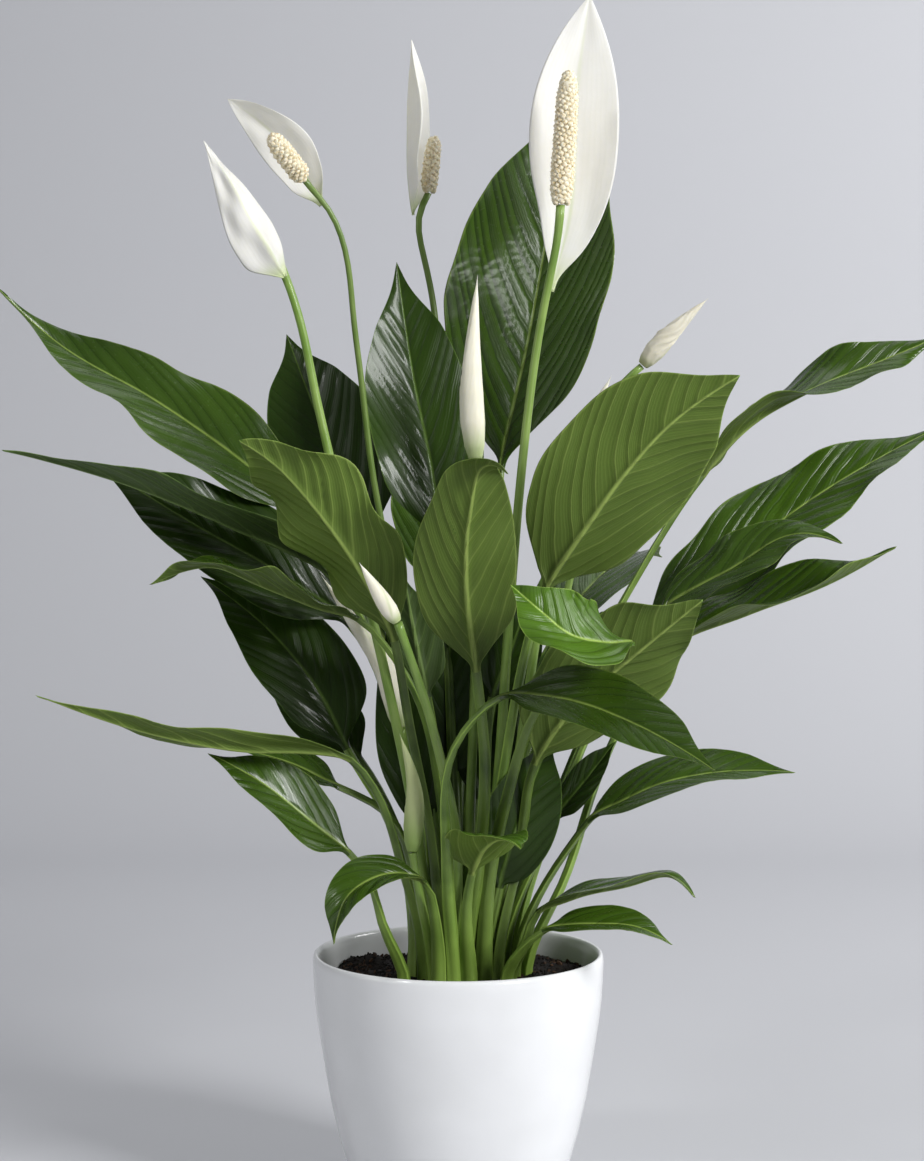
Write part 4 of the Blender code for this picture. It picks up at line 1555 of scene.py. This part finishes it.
# each bud's name, its tone and the name of its kind of finish
BUDS = (
    ("bud_white_centre", SpatheTone.FRESH, "bud_white"),
    ("bud_aged_right", SpatheTone.FADED, "bud_faded"),
    ("bud_small_right", SpatheTone.FRESH, "bud_white"),
    ("bud_small_left", SpatheTone.FRESH, "bud_white"),
    ("bud_long_left", SpatheTone.FRESH, "bud_white"),
    ("bud_green_low", SpatheTone.GREENISH, "bud_green"),
)


def round_stalk(
    name: str, line: Line, sides: int, material: bpy.types.Material, tone: float
) -> bpy.types.Object:
    """A smooth round stalk along a line.

    Args:
        name: the new piece's name.
        line: its centres and radii.
        sides: how many points go round it.
        material: its finish.
        tone: how bright it is beside the others.

    Returns:
        The stalk's object, with the distance along it and round it for the finish.
    """
    turns = np.linspace(0, math.tau, sides, endpoint=False)
    radii = line.radii[:, None]
    rings = turned_rings(line.centres, radii, turns, np.array([1.0, 0.1, 0.0]))
    along = run_length(line.centres)[:, None]
    data = np.stack(np.broadcast_arrays(along, radii * np.cos(turns), radii * np.sin(turns)), axis=-1)
    share = np.zeros_like(data)
    share[..., 2] = tone
    return build_skin(name, rings, None, [material], None, {"blade_run": data, "blade_share": share})


@dataclass
class Flowers:
    """The blooms, each a stalk, a spathe and a spadix, and the closed buds on their stalks."""

    stem_sides: int = 14
    frame_stem_sides: int = 8
    frame_bud_sides: int = 12
    bud_sides: int = 40
    spathe_stations: int = 90
    spathe_columns: int = 33
    spathe_thickness: float = 0.5 * MM
    spathe_wave: float = 1.7
    floret_radius: float = 1.75 * MM
    faded_slimness: float = 0.72
    crease_depth: dict[str, float] = field(default_factory=lambda: {"bloom_half_closed": 1.0 * MM})
    slimness: dict[str, float] = field(
        default_factory=lambda: {"bloom_tilted": 0.7, "bloom_side_on": 0.8, "bud_aged_right": 0.8}
    )
    stem_tones: dict[str, float] = field(
        default_factory=lambda: {"bloom_tilted": 0.72, "bloom_side_on": 0.85, "bloom_half_closed": 1.15}
    )
    stalk: bpy.types.Material | None = None
    florets_skin: bpy.types.Material | None = None
    petal: bpy.types.Material | None = None
    closed: dict[SpatheTone, bpy.types.Material] = field(default_factory=dict)
    floret_tree: tuple[bpy.types.NodeTree, dict[str, str]] | None = None

    def dress(self) -> None:
        """Makes the finishes of the stalks, the spathes, the buds and the spadices."""
        self.stalk = StalkSkin("peduncle_skin_smooth_green", "#6a8a38", "#8aa455").make()
        self.petal = PetalSkin("spathe_tissue_fresh_white", "#efede7", "#e5e3d9", "#c3cf9f", 0.16).make()
        self.closed = {tone: skin.make() for tone, skin in BUD_SKINS.items()}
        self.florets_skin = FloretSkin().make()
        self.floret_tree = self.make_floret_tree()

    def build(self) -> None:
        """Builds every bloom and every bud."""
        for name in BLOOMS:
            self.stem(name)
            self.spathe(name)
            self.spadix(name)
        for name, tone, slot in BUDS:
            self.stem(name)
            self.bud(name, tone, slot)

    def stem(self, name: str) -> None:
        """Builds a stalk, thickened a little under its flower.

        Args:
            name: the bloom or bud that it carries.
        """
        line = Line.read(bpy.data.objects[name + "_stem"], self.frame_stem_sides).sampled(60)
        share = np.linspace(0, 1, len(line.radii))
        slim = self.slimness.get(name, 1.0)
        line.radii = line.radii * (1 - (1 - slim) * smooth_step(0.0, 0.5, share))
        line.radii = line.radii * (1 + 0.15 * smooth_step(0.94, 1.0, share))
        tone = self.stem_tones.get(name, 1.0)
        piece = round_stalk(name + "_peduncle", line, self.stem_sides, self.stalk, tone)
        settle(piece, "flower_stalk", name + "_stem")

    def spathe(self, name: str) -> None:
        """Builds an open spathe: a thin cupped sheet drawn out to a point.

        Args:
            name: its bloom.
        """
        blade = Blade.read(bpy.data.objects[name + "_spathe"])
        chance = seeded(name)
        knots = run_length(blade.spine())
        stations = knots[-1] * np.linspace(0, 1, self.spathe_stations + 1)[:-1]
        lines = blade.lines_at(knots, stations)
        upward = unit(lines[:, TOP_MIDDLE] - lines[:, KEEL])
        shares = np.linspace(-1, 1, self.spathe_columns)
        shares = np.sign(shares) * np.abs(shares) ** 0.9
        top = upper_side(lines, shares)
        # the crease that the frame has along the middle is rounded into a shallow cup
        for _ in range(3):
            top[:, 1:-1] = top[:, 1:-1] * 0.5 + (top[:, :-2] + top[:, 2:]) * 0.25
        run = stations / knots[-1]
        normals = sheet_normals(top, upward)
        fade = np.sin(math.pi * run)[:, None] ** 0.7
        wave = np.sin(run[:, None] * 9 + chance.uniform(0, 6) + np.where(shares < 0, 1.7, 0)[None, :])
        lift = wave * fade * np.abs(shares)[None, :] ** 2.0 * self.spathe_wave * MM
        crease = np.sin(shares * 7 + chance.uniform(0, 6))[None, :] * np.sin(run * 13 + 2)[:, None]
        lift = lift + self.crease_depth.get(name, 0.35 * MM) * crease * fade
        top = top + normals * lift[..., None]
        thin = self.spathe_thickness * np.clip((1 - np.abs(shares)) / 0.06, 0.0, 1.0)[None, :]
        rib = 0.9 * MM * (1 - run)[:, None] * np.exp(-((shares / 0.07) ** 2))[None, :]
        bottom = top - normals * (thin + rib + THINNEST)[..., None]
        rings = np.concatenate([top, bottom[:, -2:0:-1]], axis=1)
        data = {"blade_share": wrapped(shares[None, :], run[:, None], np.ones((1, 1)))}
        piece = build_skin(name + "_petal", rings, blade.tip, [self.petal], None, data)
        settle(piece, "spathe_white", name + "_spathe")

    def spadix(self, name: str) -> None:
        """Builds a spadix: its florets set in spirals over a core.

        Args:
            name: its bloom.
        """
        line = Line.read(bpy.data.objects[name + "_spadix"], self.frame_bud_sides).sampled(40)
        widest = float(line.radii.max())
        length = float(run_length(line.centres)[-1])
        mesh = bpy.data.meshes.new(name + "_florets")
        edges = [(i, i + 1) for i in range(len(line.centres) - 1)]
        mesh.from_pydata(line.centres.tolist(), edges, [])
        piece = new_piece(name + "_florets", mesh)
        tree, sockets = self.floret_tree
        count = round(length * math.tau * widest / (self.floret_radius * 1.6) ** 2)
        values = {
            "Florets": count,
            "Core radius": widest - self.floret_radius * 0.75,
            "Floret radius": self.floret_radius,
            "Seed": zlib.crc32(name.encode()) % 1000,
        }
        grown(piece, tree, values, sockets)
        settle(piece, "spadix_cream", name + "_spadix")

    def make_floret_tree(self) -> tuple[bpy.types.NodeTree, dict[str, str]]:
        """A geometry tree that covers a line with a core and spiralling florets.

        Returns:
            The tree and the identifier of each named input.
        """
        inputs = {
            "Florets": "NodeSocketInt",
            "Core radius": "NodeSocketFloat",
            "Floret radius": "NodeSocketFloat",
            "Seed": "NodeSocketInt",
        }
        tree, given, sockets = open_tree("spadix_florets", inputs)
        axis = add(tree, "GeometryNodeMeshToCurve", {0: given["Geometry"]}).outputs[0]
        number = add(tree, "GeometryNodeInputIndex").outputs[0]
        share = add(
            tree, "ShaderNodeMath", {0: number, 1: given["Florets"]}, operation="DIVIDE"
        ).outputs[0]
        points = add(
            tree, "GeometryNodePoints", {"Count": given["Florets"], "Radius": given["Floret radius"]}
        ).outputs[0]
        sample = add(tree, "GeometryNodeSampleCurve", {"Curves": axis, "Factor": share}, mode="FACTOR")
        # full for most of its length, and closing as a rounded end at both ends
        towards_end = add(tree, "ShaderNodeMath", {0: share, 1: 7.0}, operation="POWER").outputs[0]
        from_start = add(
            tree, "ShaderNodeMapRange", {"Value": share, 1: 0.0, 2: 0.12, "To Min": 0.7, "To Max": 1.0}
        ).outputs["Result"]
        left_over = add(
            tree, "ShaderNodeMath", {0: 1.0, 1: towards_end}, operation="SUBTRACT"
        ).outputs[0]
        rounded = add(tree, "ShaderNodeMath", {0: left_over, 1: 0.5}, operation="POWER").outputs[0]
        profile = add(
            tree, "ShaderNodeMath", {0: rounded, 1: from_start}, operation="MULTIPLY"
        ).outputs[0]
        radius = add(
            tree, "ShaderNodeMath", {0: profile, 1: given["Core radius"]}, operation="MULTIPLY"
        ).outputs[0]
        turn = add(tree, "ShaderNodeMath", {0: number, 1: GOLDEN_TURN}, operation="MULTIPLY").outputs[0]
        outward = add(
            tree,
            "ShaderNodeVectorRotate",
            {"Vector": sample.outputs["Normal"], "Axis": sample.outputs["Tangent"], "Angle": turn},
            rotation_type="AXIS_ANGLE",
        ).outputs[0]
        offset = add(
            tree, "ShaderNodeVectorMath", {0: outward, "Scale": radius}, operation="SCALE"
        ).outputs[0]
        spot = add(
            tree, "ShaderNodeVectorMath", {0: sample.outputs["Position"], 1: offset}, operation="ADD"
        ).outputs[0]
        placed = add(tree, "GeometryNodeSetPosition", {"Geometry": points, "Position": spot}).outputs[0]
        facing = add(tree, "FunctionNodeAlignRotationToVector", {"Vector": outward}, axis="Z").outputs[0]
        ball = add(tree, "GeometryNodeMeshIcoSphere", {"Radius": 1.0, "Subdivisions": 1}).outputs[0]
        size_change = add(
            tree,
            "FunctionNodeRandomValue",
            {2: 0.85, 3: 1.12, "Seed": given["Seed"]},
            data_type="FLOAT",
        ).outputs[1]
        size = add(
            tree, "ShaderNodeMath", {0: size_change, 1: given["Floret radius"]}, operation="MULTIPLY"
        ).outputs[0]
        florets = add(
            tree,
            "GeometryNodeInstanceOnPoints",
            {"Points": placed, "Instance": ball, "Rotation": facing, "Scale": size},
        ).outputs[0]
        around = add(tree, "GeometryNodeCurvePrimitiveCircle", {"Resolution": 12, "Radius": 1.0}).outputs[0]
        inner = add(
            tree, "GeometryNodeTrimCurve", {"Curve": axis, 2: 0.02, 3: 0.93}, mode="FACTOR"
        ).outputs[0]
        core = add(
            tree,
            "GeometryNodeCurveToMesh",
            {"Curve": inner, "Profile Curve": around, "Scale": given["Core radius"], "Fill Caps": True},
        )
        joined = add(tree, "GeometryNodeJoinGeometry", {0: florets})
        tree.links.new(core.outputs[0], joined.inputs[0])
        real = add(tree, "GeometryNodeRealizeInstances", {0: joined.outputs[0]}).outputs[0]
        smooth = add(tree, "GeometryNodeSetShadeSmooth", {0: real}).outputs[0]
        close_tree(tree, smooth, self.florets_skin)
        return tree, sockets

    def bud(self, name: str, tone: SpatheTone, slot: str) -> None:
        """Builds a closed bud: a spathe rolled round itself, its free edge winding up it.

        Args:
            name: the bud.
            tone: how far it has turned.
            slot: the name of its kind of finish.
        """
        line = Line.read(bpy.data.objects[name], self.frame_bud_sides).sampled(70)
        chance = seeded(name)
        run = np.linspace(0, 1, len(line.centres))
        turns = np.linspace(0, math.tau, self.bud_sides, endpoint=False)
        start = chance.uniform(0, math.tau)
        # the rolled edge stands proud on one side and sinks back behind itself
        winding = (turns[None, :] - start - run[:, None] * 2.4) % math.tau
        step = 0.16 * (1 - winding / math.tau) ** 2 - 0.06
        swell = 1 + step * np.sin(math.pi * run)[:, None] ** 0.5
        if tone is SpatheTone.FADED:
            crease = np.sin(turns * 7 + 6 * np.sin(run * 8)[:, None]) * 0.09
            swell = swell + crease * np.sin(math.pi * run)[:, None]
        sharp = 1 - 0.55 * smooth_step(0.86, 1.0, run)
        radii = line.radii * sharp * (self.faded_slimness if tone is SpatheTone.FADED else 1.0)
        rings = turned_rings(line.centres, radii[:, None] * swell, turns, np.array([1.0, 0.2, 0.0]))
        shares = np.broadcast_arrays(winding / math.pi - 1, run[:, None], 1.0)
        data = {"blade_share": np.stack(shares, axis=-1)}
        end = line.centres[-1] + (line.centres[-1] - line.centres[-2]) * 0.9
        piece = build_skin(name + "_rolled", rings, end, [self.closed[tone]], None, data)
        settle(piece, slot, name)


# ---------------------------------------------------------------- pot and soil


@dataclass
class Pot:
    """The glazed pot, turned on its own axis. Its wall is a line of radii and heights in mm, up
    the outside from the middle of the foot, over the lip and down the inside."""

    wall: tuple[tuple[float, float], ...] = (
        (0.0, 1.4), (38.0, 1.4), (40.0, 0.2), (43.0, 0.0), (45.6, 0.9), (47.6, 3.2), (52.5, 10.0),
        (58.5, 23.5), (63.2, 40.0), (67.2, 58.0), (70.6, 78.0), (73.6, 97.0), (75.2, 110.0),
        (75.9, 124.0), (76.15, 130.0), (76.2, 132.3), (75.8, 134.1), (75.0, 135.0), (74.0, 134.9),
        (73.1, 133.9), (72.5, 131.0), (71.9, 124.0), (71.2, 110.0), (67.6, 82.0), (62.4, 52.0),
        (55.2, 26.0), (44.0, 9.0), (30.0, 6.6), (0.0, 6.0),
    )
    widest: float = 76.2 * MM
    steps: int = 144
    samples: int = 190
    seam: float = 0.01 * MM
    material: bpy.types.Material | None = None

    def dress(self) -> None:
        """Makes the glaze."""
        self.material = GlazedStoneware().make()

    def build(self) -> None:
        """Turns the wall's profile round the pot's axis."""
        profile = np.array([(radius * MM, 0.0, height * MM) for radius, height in self.wall])
        knots = run_length(profile)
        even = np.linspace(0, knots[-1], self.samples)
        points = np.stack([np.interp(even, knots, profile[:, axis]) for axis in range(3)], axis=1)
        # the corners of the line are rounded
        for _ in range(2):
            points[1:-1] = points[1:-1] * 0.5 + (points[:-2] + points[2:]) * 0.25
        points[1:-1, 0] = np.minimum(points[1:-1, 0], self.widest)
        mesh = bpy.data.meshes.new("pot_glazed")
        mesh.from_pydata(points.tolist(), [(i, i + 1) for i in range(len(points) - 1)], [])
        piece = new_piece("pot_glazed", mesh)
        tree, sockets = self.lathe_tree()
        grown(piece, tree, {"Steps": self.steps, "Seam": self.seam}, sockets)
        face_outwards(piece.data)
        settle(piece, "glazed_pot", "pot")

    def lathe_tree(self) -> tuple[bpy.types.NodeTree, dict[str, str]]:
        """A geometry tree that turns a profile in the XZ plane round the Z axis.

        Returns:
            The tree and the identifier of each named input.
        """
        tree, given, sockets = open_tree("lathe", {"Steps": "NodeSocketInt", "Seam": "NodeSocketFloat"})
        size = add(
            tree, "GeometryNodeAttributeDomainSize", {0: given["Geometry"]}, component="MESH"
        ).outputs["Point Count"]
        around = add(tree, "ShaderNodeMath", {0: given["Steps"], 1: 1.0}, operation="ADD").outputs[0]
        sheet = add(
            tree,
            "GeometryNodeMeshGrid",
            {"Size X": 1.0, "Size Y": 1.0, "Vertices X": around, "Vertices Y": size},
        ).outputs[0]
        number = add(tree, "GeometryNodeInputIndex").outputs[0]
        row = add(tree, "ShaderNodeMath", {0: number, 1: size}, operation="MODULO").outputs[0]
        step = add(
            tree,
            "ShaderNodeMath",
            {0: add(tree, "ShaderNodeMath", {0: number, 1: size}, operation="DIVIDE").outputs[0]},
            operation="FLOOR",
        ).outputs[0]
        turn = add(
            tree,
            "ShaderNodeMath",
            {
                0: add(tree, "ShaderNodeMath", {0: step, 1: given["Steps"]}, operation="DIVIDE").outputs[0],
                1: math.tau,
            },
            operation="MULTIPLY",
        ).outputs[0]
        place = add(tree, "GeometryNodeInputPosition").outputs[0]
        found = add(
            tree,
            "GeometryNodeSampleIndex",
            {"Geometry": given["Geometry"], "Value": place, "Index": row},
            data_type="FLOAT_VECTOR",
            domain="POINT",
        ).outputs[0]
        turned = add(
            tree,
            "ShaderNodeVectorRotate",
            {"Vector": found, "Axis": (0.0, 0.0, 1.0), "Angle": turn},
            rotation_type="AXIS_ANGLE",
        ).outputs[0]
        swept = add(tree, "GeometryNodeSetPosition", {"Geometry": sheet, "Position": turned}).outputs[0]
        joined = add(
            tree, "GeometryNodeMergeByDistance", {"Geometry": swept, "Distance": given["Seam"]}
        ).outputs[0]
        smooth = add(tree, "GeometryNodeSetShadeSmooth", {0: joined}).outputs[0]
        close_tree(tree, smooth, self.material)
        return tree, sockets


def face_outwards(mesh: bpy.types.Mesh) -> None:
    """Turns a closed mesh's faces outwards.

    Args:
        mesh: the mesh, which is changed in place.
    """
    shape = bmesh.new()
    shape.from_mesh(mesh)
    bmesh.ops.recalc_face_normals(shape, faces=shape.faces)
    shape.to_mesh(mesh)
    shape.free()


@dataclass
class Soil:
    """The compost: a heaped crumbly fill, with loose crumbs and bark chips lying on it."""

    top: float = 120.0 * MM
    rise: float = 3.5 * MM
    radius: float = 71.0 * MM
    rings: int = 46
    sides: int = 120
    lumps: int = 240
    # the fill follows the pot's inner wall down: heights and radii
    wall: tuple[tuple[float, float], ...] = ((60.0, 62.5), (90.0, 67.0), (112.0, 70.2))
    fill: bpy.types.Material | None = None
    chips: bpy.types.Material | None = None

    def dress(self) -> None:
        """Makes the compost and the bark."""
        self.fill = PeatCompost("peat_compost_damp", "#060403", "#241810").make()
        self.chips = PeatCompost("bark_chips_composted", "#23160e", "#6a4d37", 3.5).make()

    def build(self) -> None:
        """Builds the fill and scatters crumbs over it."""
        chance = seeded("potting_soil")
        lumps = [
            (chance.uniform(-1, 1) * self.radius, chance.uniform(-1, 1) * self.radius,
             chance.uniform(3, 8) * MM, chance.uniform(-1.6, 2.4) * MM)
            for _ in range(self.lumps)
        ]
        turns = np.linspace(0, math.tau, self.sides, endpoint=False)
        share = np.linspace(1.0, 0.02, self.rings)
        x = share[:, None] * self.radius * np.cos(turns)[None, :]
        y = share[:, None] * self.radius * np.sin(turns)[None, :]
        height = self.top + self.rise * (1 - share[:, None] ** 2) + np.zeros_like(x)
        for left, deep, wide, tall in lumps:
            height = height + tall * np.exp(-((x - left) ** 2 + (y - deep) ** 2) / wide**2)
        surface = np.stack([x, y, height], axis=-1)
        lower = [
            np.stack([r * MM * np.cos(turns), r * MM * np.sin(turns), np.full(self.sides, h * MM)], axis=-1)
            for h, r in self.wall
        ]
        rings = np.concatenate([np.array(lower), surface])
        piece = build_skin("potting_mix", rings, None, [self.fill])
        settle(piece, "potting_mix", "potting_soil")
        # each layer's name and seed, how many lie on a square metre, their size and their finish
        for label, seed, density, size, material in (
            ("soil_crumbs", 11, 150000.0, 1.25 * MM, self.fill),
            ("bark_flakes", 29, 16000.0, 2.3 * MM, self.chips),
        ):
            mesh = bpy.data.meshes.new(label)
            points = surface.reshape(-1, 3)
            mesh.from_pydata(points.tolist(), [], ring_quads(self.rings, self.sides).tolist())
            layer = new_piece(label, mesh)
            tree, sockets = self.scatter_tree(label, material)
            grown(layer, tree, {"Density": density, "Crumb size": size, "Seed": seed}, sockets)
            settle(layer, "potting_mix")

    @staticmethod
    def scatter_tree(
        label: str, material: bpy.types.Material
    ) -> tuple[bpy.types.NodeTree, dict[str, str]]:
        """A geometry tree that scatters crumbs on a surface.

        Args:
            label: the tree's name.
            material: the crumbs' finish.

        Returns:
            The tree and the identifier of each named input.
        """
        inputs = {"Density": "NodeSocketFloat", "Crumb size": "NodeSocketFloat", "Seed": "NodeSocketInt"}
        tree, given, sockets = open_tree(label, inputs)
        points = add(
            tree,
            "GeometryNodeDistributePointsOnFaces",
            {"Mesh": given["Geometry"], "Density": given["Density"], "Seed": given["Seed"]},
        ).outputs[0]
        grain = add(tree, "GeometryNodeMeshIcoSphere", {"Radius": 1.0, "Subdivisions": 1}).outputs[0]
        turn = add(
            tree,
            "FunctionNodeRandomValue",
            {0: (0.0, 0.0, 0.0), 1: (math.tau, math.tau, math.tau), "Seed": given["Seed"]},
            data_type="FLOAT_VECTOR",
        ).outputs[0]
        stretch = add(
            tree,
            "FunctionNodeRandomValue",
            {0: (0.35, 0.3, 0.25), 1: (1.25, 0.9, 0.6), "Seed": given["Seed"]},
            data_type="FLOAT_VECTOR",
        ).outputs[0]
        size = add(
            tree, "ShaderNodeVectorMath", {0: stretch, "Scale": given["Crumb size"]}, operation="SCALE"
        ).outputs[0]
        spread = add(
            tree,
            "GeometryNodeInstanceOnPoints",
            {"Points": points, "Instance": grain, "Rotation": turn, "Scale": size},
        ).outputs[0]
        close_tree(tree, spread, material)
        return tree, sockets


# ---------------------------------------------------------------- the studio


@dataclass(frozen=True)
class SeamlessPaper(Finish):
    """Matte paper of one pale grey, with clouds too faint to see as such. From behind it is
    clear, so that the plant can be looked at from every side."""

    name: str = "seamless_paper_pale"
    light: str = "#c9cace"
    dark: str = "#c6c7cb"
    clouds_per_metre: float = 1.4

    def drawn(self, tree: bpy.types.NodeTree) -> dict[str, object]:
        """Draws the paper.

        Args:
            tree: the material's tree.

        Returns:
            A value or a socket for each of the shader's inputs that it sets.
        """
        place = add(tree, "ShaderNodeTexCoord").outputs["Object"]
        noise = {"Vector": place, "Scale": self.clouds_per_metre, "Detail": 1.0}
        cloud = add(tree, "ShaderNodeTexNoise", noise).outputs["Fac"]
        level = add(tree, "ShaderNodeMapRange", {"Value": cloud, "To Min": 0.3, "To Max": 0.7}).outputs[0]
        tones = {0: level, 6: linear(self.dark), 7: linear(self.light)}
        colour = add(tree, "ShaderNodeMix", tones, data_type="RGBA").outputs[2]
        return {"Base Color": colour, "Roughness": 0.8}

    def shown(self, tree: bpy.types.NodeTree, shader: bpy.types.NodeSocket) -> bpy.types.NodeSocket:
        """What the surface shows.

        Args:
            tree: the material's tree.
            shader: the paper itself.

        Returns:
            The paper from in front, and nothing from behind.
        """
        back = add(tree, "ShaderNodeNewGeometry").outputs["Backfacing"]
        clear = add(tree, "ShaderNodeBsdfTransparent").outputs[0]
        return add(tree, "ShaderNodeMixShader", {0: back, 1: shader, 2: clear}).outputs[0]


@dataclass(frozen=True)
class SoftLight:
    """A square soft light: where it hangs, what it points at, its side and its power."""

    name: str
    place: tuple[float, float, float]
    target: tuple[float, float, float]
    side: float
    power: float

    def build(self) -> None:
        """Hangs the light, turned to its target."""
        data = bpy.data.lights.new(self.name, "AREA")
        data.shape = "SQUARE"
        data.size = self.side
        data.energy = self.power
        light = bpy.data.objects.new(self.name, data)
        light.location = self.place
        aim = np.array(self.target) - np.array(self.place)
        aim = aim / np.linalg.norm(aim)
        light.rotation_euler = (
            math.acos(float(-aim[2])),
            0.0,
            math.atan2(float(aim[1]), float(aim[0])) - math.pi / 2,
        )
        bpy.context.scene.collection.objects.link(light)


LIGHTS = (
    SoftLight("key_softbox", (1.45, -1.35, 1.15), (0.0, 0.0, 0.3), 0.6, 42.0),
    SoftLight("top_softbox", (0.1, 0.5, 1.7), (0.0, 0.0, 0.3), 0.8, 3.0),
    SoftLight("strip_above_left", (-1.05, -0.95, 1.3), (0.0, 0.0, 0.45), 0.24, 4.5),
    SoftLight("window_left", (-1.7, -0.9, 1.0), (0.0, 0.0, 0.35), 1.0, 4.0),
    SoftLight("wall_wash", (1.8, 0.3, 1.3), (0.5, 1.65, 0.8), 0.8, 24.0),
)


@dataclass
class Studio:
    """A pale seamless sweep, a soft key from the right and front, weaker lights above and to
    the left, a wash on the wall, and a camera in front."""

    floor_reach: float = 2.6
    wall_start: float = 1.1
    bend: float = 0.6
    bend_steps: int = 24
    wall_height: float = 3.0
    air: str = "#e6e9f0"
    air_strength: float = 0.18
    camera_place: tuple[float, float, float] = (0.002, -1.35, 0.405)
    camera_dip: float = 3.23
    lens: float = 80.62
    sensor: float = 36.0

    def build(self) -> None:
        """Builds the sweep, the lights, the world and the camera."""
        self.sweep()
        self.lights()
        self.camera()

    def sweep(self) -> None:
        """Builds the floor that bends up into the wall."""
        line = [(-self.floor_reach, 0.0), (self.wall_start, 0.0)]
        for i in range(1, self.bend_steps + 1):
            angle = i / self.bend_steps * math.pi / 2
            line.append((self.wall_start + self.bend * math.sin(angle), self.bend * (1 - math.cos(angle))))
        line.append((self.wall_start + self.bend, self.wall_height))
        points = [(side, y, z) for y, z in line for side in (-self.floor_reach, self.floor_reach)]
        faces = [(2 * i, 2 * i + 1, 2 * i + 3, 2 * i + 2) for i in range(len(line) - 1)]
        mesh = bpy.data.meshes.new("sweep")
        mesh.from_pydata(points, [], faces)
        mesh.polygons.foreach_set("use_smooth", [True] * len(faces))
        mesh.materials.append(SeamlessPaper().make())
        new_piece("sweep", mesh)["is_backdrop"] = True

    def lights(self) -> None:
        """Places the soft lights and the even world."""
        for light in LIGHTS:
            light.build()
        world = bpy.data.worlds.new("studio_air")
        world.use_nodes = True
        tree = world.node_tree
        tree.nodes.clear()
        sky = add(tree, "ShaderNodeBackground", {"Color": linear(self.air), "Strength": self.air_strength})
        add(tree, "ShaderNodeOutputWorld", {"Surface": sky.outputs[0]})
        bpy.context.scene.world = world
        bpy.context.scene.view_settings.view_transform = "Standard"

    def camera(self) -> None:
        """Places the camera in front, a little above the middle, tilted slightly down."""
        data = bpy.data.cameras.new("camera")
        data.sensor_fit = "VERTICAL"
        data.sensor_height = self.sensor
        data.lens = self.lens
        data.dof.use_dof = False
        camera = bpy.data.objects.new("camera", data)
        camera.location = self.camera_place
        camera.rotation_euler = (math.radians(90 - self.camera_dip), 0.0, 0.0)
        bpy.context.scene.collection.objects.link(camera)
        bpy.context.scene.camera = camera


def plain(value: object) -> object:
    """Turns nested vectors to plain lists of numbers.

    Args:
        value: a number, or a row of values.

    Returns:
        The same as rounded numbers in lists.
    """
    try:
        return [plain(item) for item in value]
    except TypeError:
        return round(float(value), 6)


def main() -> None:
    """Builds the whole object in order."""
    logging.basicConfig(level=logging.INFO, format="%(name)s %(message)s")
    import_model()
    at_start = plain(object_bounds())
    Studio().build()
    for assembly in (Pot(), Soil(), Foliage(), Flowers()):
        assembly.dress()
        assembly.build()
    {"cad": at_start, "visual": plain(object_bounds())}


if __name__ == "__main__":
    main()
